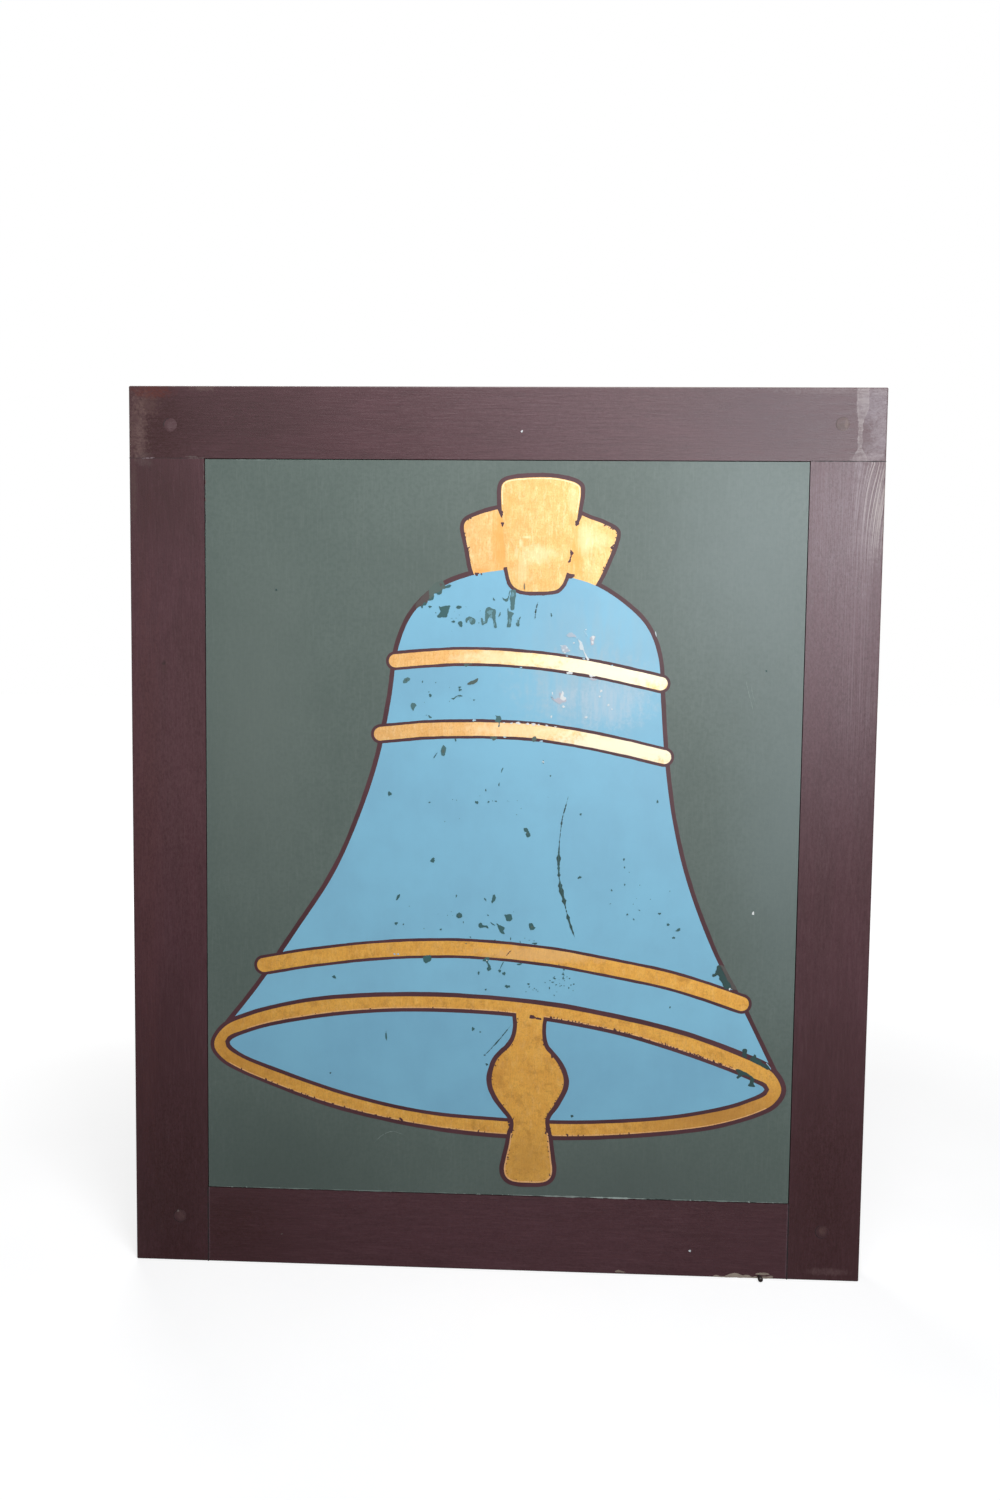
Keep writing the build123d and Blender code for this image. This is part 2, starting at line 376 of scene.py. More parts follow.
class Graph:
    """A node tree being wired: each method adds one node, and most return its output socket."""

    def __init__(self, tree):
        self.tree = tree

    def feed(self, socket, value):
        if isinstance(value, bpy.types.NodeSocket):
            self.tree.links.new(value, socket)
        elif value is not None:
            socket.default_value = value

    def node(self, kind, inputs=None, **settings):
        made = self.tree.nodes.new(kind)
        for name, value in settings.items():
            setattr(made, name, value)
        for key, value in (inputs or {}).items():
            self.feed(made.inputs[key], value)
        return made

    def math(self, operation, a, b=None, clamp=False):
        return self.node("ShaderNodeMath", {0: a, 1: b}, operation=operation, use_clamp=clamp).outputs[0]

    def times(self, a, b):
        return self.math("MULTIPLY", a, b)

    def plus(self, a, b):
        return self.math("ADD", a, b)

    def less(self, a, b):
        return self.math("SUBTRACT", a, b)

    def vector(self, operation, a, b=None):
        return self.node("ShaderNodeVectorMath", {0: a, 1: b}, operation=operation).outputs[0]

    def length(self, vector):
        return self.node("ShaderNodeVectorMath", {0: vector}, operation="LENGTH").outputs["Value"]

    def parts(self, vector):
        """The outputs X, Y and Z of a vector taken apart."""
        return self.node("ShaderNodeSeparateXYZ", {0: vector}).outputs

    def mapped(self, vector, scale=(1, 1, 1), rotation=(0, 0, 0)):
        inputs = {"Vector": vector, "Rotation": rotation, "Scale": scale}
        return self.node("ShaderNodeMapping", inputs).outputs[0]

    def noise(self, vector, scale, detail=4.0, rough=0.55, distortion=0.0):
        """Noise at one scale, or at one scale for each axis."""
        if isinstance(scale, tuple):
            vector, scale = self.mapped(vector, scale), 1.0
        inputs = {"Vector": vector, "Scale": scale, "Detail": detail, "Roughness": rough}
        return self.node("ShaderNodeTexNoise", {**inputs, "Distortion": distortion}).outputs["Fac"]

    def ramp(self, value, low, high):
        """Nothing up to low and everything from high, with an eased step between."""
        inputs = {"Value": value, "From Min": low, "From Max": high}
        return self.node("ShaderNodeMapRange", inputs, interpolation_type="SMOOTHSTEP").outputs["Result"]

    def mix(self, share, a, b):
        inputs = {"Factor": share, "A": linear(a), "B": linear(b)}
        return self.node("ShaderNodeMix", inputs, data_type="RGBA").outputs["Result"]

    def glazed(self, colour, glazes):
        """Lays glazes over a colour, each with its mask, its strength and its shade."""
        for mask, strength, shade in glazes:
            colour = self.mix(self.times(mask, strength), colour, shade)
        return colour

    def group(self, tree, inputs):
        return self.node("ShaderNodeGroup", inputs, node_tree=tree).outputs


def new_group(name, inputs, outputs):
    """A shader group with named inputs, each with its type and plain value, and float outputs."""
    tree = bpy.data.node_groups.new(name, "ShaderNodeTree")
    for label, kind, value in inputs:
        socket = tree.interface.new_socket(label, in_out="INPUT", socket_type="NodeSocket" + kind)
        if value is not None:
            socket.default_value = value
    for label in outputs:
        tree.interface.new_socket(label, in_out="OUTPUT", socket_type="NodeSocketFloat")
    graph = Graph(tree)
    return graph, graph.node("NodeGroupInput").outputs, graph.node("NodeGroupOutput").inputs


def patch_group():
    """Patch: 1 in the middle of an ellipse in X and Z, fading over a share of its half size to 0
    at its edge, which noise of a given size breaks up."""
    graph, given, out = new_group("patch", [
        ("Vector", "Vector", None),
        ("Centre", "Vector", (0, 0, 0)),
        ("Half Size", "Vector", (0.1, 0.1, 0.1)),
        ("Softness", "Float", 0.5),
        ("Break", "Float", 1.0),
        ("Noise Scale", "Vector", (60.0, 60.0, 60.0)),
    ], ["Mask"])
    away = graph.vector("SUBTRACT", given["Vector"], given["Centre"])
    share = graph.vector("MULTIPLY", graph.vector("DIVIDE", away, given["Half Size"]), (1.0, 0.0, 1.0))
    ragged = graph.noise(graph.vector("MULTIPLY", given["Vector"], given["Noise Scale"]), 1.0, 6.0, 0.7)
    ragged = graph.times(graph.less(ragged, 0.5), given["Break"])
    inwards = graph.less(1.0, graph.plus(graph.length(share), ragged))
    graph.feed(out["Mask"], graph.ramp(inwards, 0.0, given["Softness"]))
    return graph.tree


def grain_group():
    """Grain: long streaks along Z. Lines are the fine ridges of the wood and the brush, Figure is
    the broad uneven banding, Pores are short dark pits, and Speckle is the tooth of the paint."""
    outputs = ["Lines", "Figure", "Pores", "Speckle"]
    graph, given, out = new_group("grain", [("Vector", "Vector", None)], outputs)
    place = given["Vector"]
    pits = graph.noise(place, (700.0, 700.0, 60.0), 2.0, 0.5)
    tooth = graph.noise(place, (430.0, 430.0, 250.0), 5.0, 0.75)
    graph.feed(out["Lines"], graph.noise(place, (380.0, 380.0, 34.0), 5.0, 0.7, 0.2))
    graph.feed(out["Figure"], graph.noise(place, (34.0, 34.0, 5.0), 5.0, 0.7, 0.6))
    graph.feed(out["Pores"], graph.ramp(pits, 0.62, 0.76))
    graph.feed(out["Speckle"], graph.ramp(tooth, 0.34, 0.66))
    return graph.tree


def wear_group():
    """Worn arris: 1 where two outer faces of the sign meet, fading over a reach, broken by noise.
    The distance to the nearest arris is the middle one of the distances to the three faces."""
    graph, given, out = new_group("worn arris", [
        ("Vector", "Vector", None),
        ("Reach", "Float", 0.004),
        ("Amount", "Float", 0.5),
    ], ["Mask"])
    half_width, half_depth, half_height = sign_high[0] * MM, sign_high[1] * MM, sign_height * MM / 2
    centred = graph.vector("SUBTRACT", given["Vector"], (0.0, 0.0, half_height))
    away = graph.parts(graph.vector("ABSOLUTE", centred))
    from_side = graph.less(half_width, away["X"])
    from_end = graph.less(half_height, away["Z"])
    from_face = graph.less(half_depth, away["Y"])
    nearer = graph.math("MINIMUM", from_side, from_end)
    farther = graph.math("MAXIMUM", from_side, from_end)
    nearest = graph.math("MAXIMUM", nearer, graph.math("MINIMUM", farther, from_face))
    near = graph.math("SUBTRACT", 1.0, graph.math("DIVIDE", nearest, given["Reach"]), clamp=True)
    broken = graph.times(near, graph.plus(graph.noise(given["Vector"], 55.0, 6.0, 0.7), 0.35))
    everywhere = 0.95
    graph.feed(out["Mask"], graph.ramp(broken, graph.less(everywhere, given["Amount"]), everywhere))
    return graph.tree


PATCH, GRAIN, WEAR = patch_group(), grain_group(), wear_group()

# How the edge of a mark fades: how soft it is, how much it is broken up, and the noise that does it
RAGGED = (0.7, 1.6, (120.0, 120.0, 120.0))
STREAKY = (0.7, 1.6, (260.0, 260.0, 26.0))
SOFT = (1.0, 0.35, (24.0, 24.0, 24.0))
SPECKLED = (0.6, 2.8, (260.0, 260.0, 260.0))
BLOTCHED = (0.8, 4.0, (90.0, 90.0, 60.0))


def marked(graph, place, colour, marks, breakup=1.0):
    """Lays marks over a colour. Each mark gives x, z, half width and half height in millimetres,
    its colour, how strongly it shows, and how its edge fades."""
    glazes = []
    for x, z, half_x, half_z, shade, strength, (softness, broken, noise_scale) in marks:
        mask = graph.group(PATCH, {
            "Vector": place,
            "Centre": (x * MM, 0.0, z * MM),
            "Half Size": (half_x * MM, 1.0, half_z * MM),
            "Softness": softness,
            "Break": broken,
            "Noise Scale": noise_scale,
        })["Mask"]
        glazes.append((graph.times(mask, breakup), strength, shade))
    return graph.glazed(colour, glazes)


def new_material(name):
    """A material with its graph, its Principled shader and the Object coordinates it reads."""
    material = bpy.data.materials.new(name)
    material.use_nodes = True
    graph = Graph(material.node_tree)
    shader = material.node_tree.nodes["Principled BSDF"]
    return material, graph, shader, graph.node("ShaderNodeTexCoord").outputs["Object"]


def surfaced(graph, shader, colour, roughness, texture, rise, relief=None, depth=0.0, strength=1.0):
    """Feeds the shader its colour, a roughness that rises by so much with a texture, and a bump
    whose height is a relief times a depth in metres."""
    graph.feed(shader.inputs["Base Color"], colour)
    graph.feed(shader.inputs["Roughness"], graph.plus(roughness, graph.times(texture, rise)))
    if relief is not None:
        bump = graph.node("ShaderNodeBump", {"Height": relief, "Distance": depth, "Strength": strength})
        graph.feed(shader.inputs["Normal"], bump.outputs[0])


# Finishes

MAROON = (68, 37, 43)
MAROON_DARK = (57, 29, 33)
MAROON_WORN = (92, 64, 68)
BARE_WOOD = (150, 132, 118)
PAINT_SHINE = 0.42


def on_front(graph, place):
    """1 on the front of the sign, fading to 0 over the front part of its sides."""
    return graph.ramp(graph.parts(place)["Y"], -0.009, -0.0215)


def leaning(graph, place):
    """The grain's own place on a board whose lines lean outwards near its top: x less a share of
    the squared height above a level, growing from nothing at an inner line."""
    level, rise, inner_line, spread, most = 0.99, 0.13, 0.455, 0.04, 0.015
    parts = graph.parts(place)
    above = graph.math("DIVIDE", graph.less(parts["Z"], level), rise, clamp=True)
    outer = graph.math("DIVIDE", graph.less(parts["X"], inner_line), spread, clamp=True)
    lean = graph.times(graph.times(above, above), outer)
    moved = {"X": graph.less(parts["X"], graph.times(lean, most)), "Y": parts["Y"], "Z": parts["Z"]}
    return graph.node("ShaderNodeCombineXYZ", moved).outputs[0]


def run_of_water(graph, place):
    """The stain below the right hanging bore: nearness to a line that runs down, where the stain
    widens towards the top edge and again in a foot at the joint, and noise makes its edge ragged.
    Returns the stain's mask and the mask of the paler tide line at its edge."""
    parts = graph.parts(place)
    upper = graph.ramp(parts["Z"], 1.17, 1.194)
    foot = graph.ramp(parts["Z"], 1.142, 1.124)
    ragged = graph.noise(place, (130.0, 130.0, 130.0), 6.0, 0.7)
    half = graph.plus(graph.times(upper, 0.005), graph.times(foot, 0.0075))
    half = graph.plus(graph.plus(half, 0.0004), graph.times(ragged, 0.0064))
    middle = graph.plus(0.4728, graph.times(upper, 0.0022))
    inwards = graph.less(half, graph.math("ABSOLUTE", graph.less(parts["X"], middle)))
    fainter = graph.less(1.0, graph.times(foot, 0.45))
    inside = graph.times(graph.ramp(inwards, 0.0, 0.0018), fainter)
    return inside, graph.times(inside, graph.ramp(inwards, 0.0028, 0.0012))


def frame_paint(name, upright_board, marks=(), ridges=(), hollows=(), stained=False):
    """Maroon oil paint over close grain, along Z on an upright board and along X on a level one.
    Marks are stains and rubs, and soft patches of painted shade and painted sheen. Where there are
    ridges and hollows, the worn growth lines lean outwards and only their ridges are pale and their
    hollows dark."""
    material, graph, shader, place = new_material(name)
    if ridges:
        lengthways = leaning(graph, place)
    elif upright_board:
        lengthways = place
    else:
        lengthways = graph.mapped(place, rotation=(0, math.pi / 2, 0))
    grain = graph.group(GRAIN, {"Vector": lengthways})
    lines, speckle = grain["Lines"], grain["Speckle"]
    cloud = graph.noise(place, 9.0, 5.0, 0.62)
    colour = graph.glazed(graph.mix(graph.ramp(grain["Figure"], 0.2, 0.8), MAROON_DARK, MAROON), [
        (graph.ramp(cloud, 0.4, 0.75), 0.3, (79, 48, 55)),
        (graph.ramp(lines, 0.48, 0.72), 0.26, MAROON_WORN),
        (graph.ramp(lines, 0.5, 0.3), 0.3, (44, 24, 27)),
        (speckle, 0.24, MAROON_WORN),
        (grain["Pores"], 0.3, (42, 27, 30)),
    ])
    front = on_front(graph, place)
    tooth = graph.times(graph.plus(0.25, graph.times(speckle, 0.75)), front)
    colour = marked(graph, place, colour, marks, tooth)
    if ridges:
        growth = graph.noise(lengthways, (860.0, 860.0, 4.0), 3.0, 0.6)
        colour = marked(graph, place, colour, ridges, graph.times(graph.ramp(growth, 0.46, 0.6), front))
        colour = marked(graph, place, colour, hollows, graph.times(graph.ramp(growth, 0.46, 0.38), front))
    if stained:
        inside, tide = run_of_water(graph, place)
        across = graph.ramp(graph.noise(place, (60.0, 60.0, 900.0), 3.0, 0.6), 0.3, 0.55)
        blotch = graph.noise(place, 150.0, 5.0, 0.7)
        tooth = graph.plus(0.2, graph.times(graph.times(across, graph.ramp(blotch, 0.32, 0.6)), 0.55))
        colour = graph.glazed(colour, [
            (graph.times(inside, front), tooth, (130, 119, 118)),
            (graph.times(graph.times(tide, front), graph.ramp(blotch, 0.36, 0.56)), 0.3, (142, 132, 130)),
        ])
    worn = graph.group(WEAR, {"Vector": place, "Reach": 0.004, "Amount": 0.4})["Mask"]
    colour = graph.glazed(colour, [(worn, 0.55, BARE_WOOD)])
    shader.inputs["Specular IOR Level"].default_value = PAINT_SHINE
    surfaced(graph, shader, colour, 0.32, lines, 0.14, lines, 0.0005, 0.6)
    return material


def panel_paint(marks):
    """Grey green oil paint on plywood, with faint upright brush marks, bloom and soft marks, among them
    painted sheen and painted shade.
    """
    material, graph, shader, place = new_material("panel_paint")
    grain = graph.group(GRAIN, {"Vector": place})
    cloud = graph.noise(place, 7.0, 5.0, 0.62)
    fine = graph.noise(place, 190.0, 4.0, 0.65)
    colour = graph.glazed(graph.mix(graph.ramp(cloud, 0.3, 0.75), (80, 92, 86), (87, 99, 93)), [
        (graph.ramp(grain["Figure"], 0.4, 0.8), 0.25, (93, 104, 98)),
        (graph.ramp(fine, 0.4, 0.64), 0.45, (72, 85, 79)),
        (graph.ramp(grain["Lines"], 0.5, 0.7), 0.25, (102, 112, 106)),
    ])
    colour = marked(graph, place, colour, marks, on_front(graph, place))
    shader.inputs["Specular IOR Level"].default_value = PAINT_SHINE
    surfaced(graph, shader, colour, 0.4, fine, 0.15, graph.plus(grain["Lines"], fine), 0.0002, 0.35)
    return material


def enamel(name, colour, other, roughness=0.5, marks=()):
    """Hand-brushed enamel: two near shades in soft clouds, fine brush marks and any soft marks, which on the
    bell's blue are painted sheen.
    """
    material, graph, shader, place = new_material(name)
    cloud = graph.noise(place, 9.0, 5.0, 0.6)
    brush = graph.noise(place, (90.0, 90.0, 14.0), 4.0, 0.6)
    shade = graph.mix(graph.ramp(cloud, 0.35, 0.7), colour, other)
    shade = graph.glazed(shade, [(graph.ramp(brush, 0.45, 0.75), 0.25, colour)])
    shade = marked(graph, place, shade, marks, graph.ramp(brush, 0.2, 0.7))
    shader.inputs["Specular IOR Level"].default_value = PAINT_SHINE
    surfaced(graph, shader, shade, roughness, brush, 0.12, brush, 0.0003, 0.3)
    return material


def gold_leaf(name, pale, deep, cream, smudge=0.0, roughness=0.4, marks=()):
    """Gold leaf rubbed down on size: soft mottling, a weave of fine upright and level scratches,
    cream rubbed streaks and brown smudges of given strengths, and joins between squares of leaf."""
    material, graph, shader, place = new_material(name)
    mottle = graph.noise(place, 60.0, 6.0, 0.68)
    scratches = graph.noise(place, (560.0, 560.0, 60.0), 4.0, 0.65)
    level = graph.noise(place, (60.0, 60.0, 420.0), 4.0, 0.65)
    speck = graph.noise(place, 320.0, 3.0, 0.6)
    crumb = graph.noise(place, (700.0, 700.0, 420.0), 4.0, 0.7)
    rubbed = graph.noise(place, (210.0, 210.0, 70.0), 5.0, 0.7, 0.3)
    dirt = graph.noise(place, 46.0, 6.0, 0.75)
    leaves = graph.mapped(place, scale=(17.0, 0.0, 17.0), rotation=(0, 0.12, 0))
    square = graph.node("ShaderNodeTexVoronoi", {"Vector": leaves}, feature="F1", distance="CHEBYCHEV")
    tone = graph.node("ShaderNodeSeparateColor", {0: square.outputs["Color"]}).outputs[0]
    mottled = graph.plus(graph.times(graph.ramp(mottle, 0.36, 0.66), 0.35), 0.1)
    share = graph.plus(mottled, graph.times(tone, 0.3))
    colour = graph.glazed(graph.mix(share, deep, pale), [
        (graph.ramp(scratches, 0.46, 0.6), 0.5, deep),
        (graph.ramp(level, 0.5, 0.62), 0.3, deep),
        (graph.ramp(rubbed, 0.5, 0.66), cream, (244, 230, 190)),
        (graph.ramp(dirt, 0.5, 0.66), smudge, (170, 118, 52)),
        (graph.ramp(crumb, 0.42, 0.68), 0.35, (178, 124, 66)),
        (graph.ramp(speck, 0.62, 0.74), 0.4, (168, 108, 56)),
    ])
    colour = marked(graph, place, colour, marks)
    shader.inputs["Metallic"].default_value = 0.7
    surfaced(graph, shader, colour, roughness, scratches, 0.2, mottle, 0.0006, 0.5)
    return material


def bare_timber():
    """Unpainted softwood inside the sign: pale, with darker growth lines along the board."""
    material, graph, shader, place = new_material("bare_timber")
    grain = graph.group(GRAIN, {"Vector": place})
    colour = graph.mix(graph.ramp(grain["Figure"], 0.35, 0.7), (205, 172, 128), (176, 136, 92))
    surfaced(graph, shader, colour, 0.6, grain["Lines"], 0.2, grain["Lines"], 0.0004, 0.5)
    return material


def dull_steel(name, metal, rust_colour):
    """Cut steel gone dull: grey with brown rust in small clouds."""
    material, graph, shader, place = new_material(name)
    rust = graph.ramp(graph.noise(place, 400.0, 5.0, 0.6), 0.45, 0.7)
    shader.inputs["Metallic"].default_value = 0.8
    surfaced(graph, shader, graph.mix(rust, metal, rust_colour), 0.4, rust, 0.3)
    return material


# On the top rail, the soft dark marks are painted shade on the left corner, the left half and the right part,
# and a soft paler patch lies in the middle. The ragged, streaky, blotched and speckled marks are the water
# stain, rubs and smears.
top_paint = frame_paint("maroon_top_rail", False, [
    (490, 1200, 28, 36, (124, 112, 118), 0.8, RAGGED), (500, 1168, 18, 40, (128, 116, 120), 0.8, RAGGED),
    (502, 1214, 20, 10, (124, 112, 114), 0.7, RAGGED), (496, 1140, 24, 22, (112, 98, 102), 0.7, RAGGED),
    (480, 1127, 24, 6, (126, 112, 114), 0.7, STREAKY), (494, 1131, 20, 7, (126, 112, 114), 0.6, RAGGED),
    (440, 1219, 60, 3, (118, 104, 104), 0.35, RAGGED), (370, 1180, 190, 120, (52, 27, 36), 0.7, SOFT),
    (430, 1216, 90, 6, (112, 98, 98), 0.35, SPECKLED), (-360, 1172, 210, 120, (48, 25, 26), 0.85, SOFT),
    (60, 1172, 220, 100, (82, 54, 60), 0.3, SOFT), (-480, 1150, 130, 150, (42, 6, 8), 1.0, SOFT),
    (-478, 1166, 70, 110, (44, 10, 10), 0.7, SOFT), (-497, 1165, 19, 64, (122, 98, 92), 0.3, SPECKLED),
    (-493, 1150, 12, 46, (118, 94, 90), 0.3, BLOTCHED), (-484, 1196, 22, 24, (108, 82, 76), 0.3, SPECKLED),
    (-476, 1213, 42, 12, (84, 32, 22), 0.7, RAGGED),
    (-404, 1217, 26, 5, (104, 86, 80), 0.5, SPECKLED),
    (-488, 1127, 16, 6, (90, 72, 70), 0.45, RAGGED),
], stained=True)
# On the right stile, the two large soft pale marks and the faint pale streak right of the stain are painted
# sheen on its upper part, and the soft dark mark is painted shade at its foot. The ridges and hollows are
# worn growth lines.
right_paint = frame_paint("maroon_right_stile", True, [
    (474, 1112, 6, 22, (122, 112, 116), 0.5, STREAKY), (455, 900, 160, 400, (96, 70, 78), 0.75, SOFT),
    (460, 1060, 90, 150, (104, 86, 92), 0.5, SOFT), (492, 1060, 24, 90, (122, 108, 110), 0.35, STREAKY),
    (455, 120, 160, 380, (45, 15, 14), 0.95, SOFT), (466, 13, 42, 7, (98, 74, 74), 0.6, STREAKY),
], ridges=[
    (496, 1072, 22, 92, (158, 148, 142), 0.8, RAGGED), (482, 1050, 26, 120, (140, 128, 130), 0.5, RAGGED),
    (440, 1040, 60, 150, (116, 100, 106), 0.25, RAGGED), (480, 880, 40, 260, (112, 92, 98), 0.4, RAGGED),
], hollows=[
    (496, 1072, 22, 92, (66, 40, 46), 0.3, RAGGED), (482, 1050, 26, 120, (66, 40, 46), 0.3, RAGGED),
])
# On the left stile, the soft dark marks are painted shade at its top and its foot, and a soft paler patch
# lies in its middle.
left_paint = frame_paint("maroon_left_stile", True, [
    (-474, 1090, 90, 130, (46, 18, 18), 0.75, SOFT), (-455, 100, 160, 400, (44, 13, 12), 1.0, SOFT),
    (-450, 700, 120, 300, (90, 62, 64), 0.45, SOFT), (-490, 600, 30, 560, (84, 46, 44), 0.3, STREAKY),
    (-488, 1118, 16, 8, (92, 76, 74), 0.4, RAGGED), (-502, 1080, 6, 60, (84, 66, 60), 0.4, RAGGED),
    (-462.6, 846.5, 3.5, 5, (34, 22, 22), 1.0, RAGGED), (-462, 838, 5, 12, (60, 40, 36), 0.4, STREAKY)])
# On the bottom rail, the soft dark marks are painted shade at its left and right ends, and a soft paler patch
# lies in its middle.
bottom_paint = frame_paint("maroon_bottom_rail", False, [
    (-380, 50, 200, 120, (46, 16, 14), 0.9, SOFT), (20, 60, 260, 90, (76, 44, 52), 0.35, SOFT),
    (360, 50, 120, 120, (58, 30, 34), 0.5, SOFT)])
# The large soft dark mark carries the corner's painted shade over the top left peg.
peg_left_paint = frame_paint("maroon_peg_left", False, [
    (-450, 1168, 60, 60, (50, 20, 22), 0.8, SOFT), (-450, 1168, 12, 11, (98, 76, 78), 0.65, RAGGED)])
peg_right_paint = frame_paint("maroon_peg_right", False, [
    (450, 1171.5, 60, 60, (60, 31, 19), 1.0, SOFT), (447, 1169, 8, 8, (50, 26, 17), 0.6, RAGGED),
    (454, 1172, 3, 7, (104, 84, 76), 0.6, STREAKY)])
# The large soft dark marks carry the foot's painted shade over the lower pegs.
peg_low_paint = frame_paint("maroon_peg_low", True, [
    (-445, 65, 60, 60, (44, 20, 21), 0.8, SOFT), (456, 70, 60, 60, (44, 21, 22), 0.8, SOFT),
    (-445, 66, 11, 10, (92, 66, 64), 0.7, STREAKY), (456, 71, 10, 8, (100, 74, 68), 0.55, STREAKY)])
# On the panel, painted sheen lightens its upper right and its right side, a soft paler patch lies on its
# left, and painted shade darkens its foot.
green_paint = panel_paint([
    (350, 1000, 230, 320, (102, 114, 112), 0.6, SOFT), (400, 640, 140, 380, (102, 115, 113), 0.6, SOFT),
    (-340, 780, 140, 380, (98, 108, 102), 0.5, SOFT), (-300, 130, 320, 170, (64, 75, 70), 0.7, SOFT),
    (180, 120, 340, 120, (70, 80, 76), 0.65, SOFT)])
timber = bare_timber()
steel = dull_steel("brad_steel", (120, 118, 115), (98, 62, 42))
old_steel = dull_steel("stub_steel", (58, 52, 52), (52, 36, 32))
# The blue's marks are painted sheen on the upper right of the bell.
blue_paint = enamel("bell_blue", (123, 179, 203), (119, 171, 195), 0.36, [
    (120, 815, 120, 70, (172, 186, 194), 0.45, RAGGED), (130, 860, 160, 130, (146, 170, 180), 0.5, SOFT),
    (85, 806, 30, 20, (178, 190, 200), 0.4, RAGGED), (150, 800, 60, 40, (184, 198, 210), 0.3, SPECKLED),
    (150, 800, 50, 34, (184, 198, 210), 0.15, STREAKY)])
inner_blue = enamel("inner_blue", (117, 172, 196), (112, 164, 189), 0.4)
line_paint = enamel("line_maroon", (62, 30, 36), (76, 42, 48), 0.42)
old_green = enamel("old_green", (38, 68, 66), (32, 58, 56))
thin_green = enamel("thin_green", (44, 84, 85), (50, 90, 92))
film_green = enamel("film_green", (58, 96, 97), (70, 106, 108))
lost_line = enamel("worn_green", (76, 92, 86), (66, 82, 76))
thin_line = enamel("thin_line", (72, 62, 60), (84, 84, 80))
joint_dark = enamel("joint_dark", (16, 11, 12), (26, 18, 20), 0.6)
joint_pale = enamel("joint_pale", (84, 66, 72), (70, 50, 56))
peg_shade = enamel("peg_shade", (48, 28, 24), (58, 38, 34), 0.55)
stain = enamel("water_stain", (118, 104, 106), (108, 92, 96), 0.42)
worn_wood = enamel("worn_wood", (104, 92, 88), (78, 64, 62), 0.6)
splintered = enamel("splintered_foot", (166, 154, 140), (116, 102, 92), 0.6)
pale_scuff = enamel("pale_scuff", (210, 212, 210), (176, 196, 206))
pink_scuff = enamel("pink_scuff", (176, 174, 182), (154, 178, 192))
pale_film = enamel("pale_film", (84, 124, 130), (98, 142, 154))
soft_scuff = enamel("soft_scuff", (160, 192, 206), (136, 184, 208), 0.45)
faint_rub = enamel("faint_rub", (116, 128, 122), (94, 108, 102), 0.45)
foot_rub_and_highlight = enamel("foot_rub_and_highlight", (150, 162, 156), (104, 110, 106))
cream_gold, orange_gold = (238, 222, 184), (208, 146, 74)
# On the crown's leaf, the cream marks are painted highlights, three of them a thin arc along a crease.
gold = gold_leaf("gold_leaf", (215, 187, 128), (197, 154, 90), 0.2, marks=[
    (8, 1055, 16, 34, orange_gold, 0.35, RAGGED), (74, 1020, 14, 16, orange_gold, 0.3, RAGGED),
    (60, 960, 16, 8, orange_gold, 0.3, RAGGED), (48, 998, 30, 18, cream_gold, 0.3, RAGGED),
    (33, 1021, 7, 2.4, cream_gold, 0.4, RAGGED), (26, 1013, 4, 8, cream_gold, 0.35, STREAKY),
    (20, 1000, 3, 12, cream_gold, 0.25, STREAKY), (95, 1072, 8, 28, cream_gold, 0.2, STREAKY),
    (28, 975, 12, 26, cream_gold, 0.2, STREAKY), (31, 955, 1.6, 7, (140, 86, 42), 0.9, STREAKY)])
# The bands' marks are painted highlights: near white on the right halves of the two upper bands and paler in
# their middles.
band_gold = gold_leaf("band_gold_leaf", (236, 194, 128), (220, 166, 98), 0.2, roughness=0.38, marks=[
    (150, 845, 175, 44, (219, 209, 184), 0.9, RAGGED), (172, 738, 168, 40, (222, 210, 184), 0.9, RAGGED),
    (20, 858, 110, 18, (240, 216, 176), 0.6, RAGGED), (40, 760, 110, 18, (240, 214, 172), 0.55, RAGGED)])
# The three large soft marks are painted shade on the rim's lower right, its left tip and the clapper's foot.
dull_gold = gold_leaf("dull_gold_leaf", (247, 192, 92), (224, 163, 72), 0.08, 0.45, marks=[
    (300, 235, 200, 70, (184, 130, 64), 0.75, SOFT), (46, 158, 60, 70, (196, 146, 72), 0.5, SOFT),
    (-350, 300, 120, 80, (200, 140, 62), 0.6, SOFT), (60, 452, 130, 16, (226, 182, 126), 0.5, RAGGED),
    (-10, 290, 34, 44, (196, 134, 62), 0.4, RAGGED)])
# A pale leaf for the gold's edges: partly the leaf's own edge and partly a painted highlight.
gold_edge = gold_leaf("gold_edge", (248, 200, 144), (232, 174, 114), 0.1)
loop_edge = gold_leaf("loop_edge", (238, 210, 170), (226, 190, 144), 0.2)
# The cream marks on the right loop are painted highlights.
loop_gold = gold_leaf("loop_gold_leaf", (219, 187, 130), (204, 158, 96), 0.2, marks=[
    (-1, 1012, 15, 74, orange_gold, 0.7, STREAKY), (101, 1005, 13, 66, orange_gold, 0.7, STREAKY),
    (-28, 973, 18, 8, orange_gold, 0.6, RAGGED), (113, 1018, 18, 28, cream_gold, 0.3, STREAKY),
    (132, 1018, 16, 14, cream_gold, 0.2, RAGGED)])

finishes = {
    top_paint: ["top_rail"],
    bottom_paint: ["bottom_rail"],
    left_paint: ["left_stile"],
    right_paint: ["right_stile"],
    peg_left_paint: ["top_left_peg"],
    peg_right_paint: ["top_right_peg"],
    peg_low_paint: ["bottom_left_peg", "bottom_right_peg"],
    green_paint: ["front_panel", "back_panel"],
    timber: ["cross_batten", "lower_batten", "upper_batten"],
    steel: ["front_panel_brads", "back_panel_brads"],
}
for finish, nodes in finishes.items():
    for node in nodes:
        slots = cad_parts[node].data.materials
        slots.clear()
        slots.append(finish)


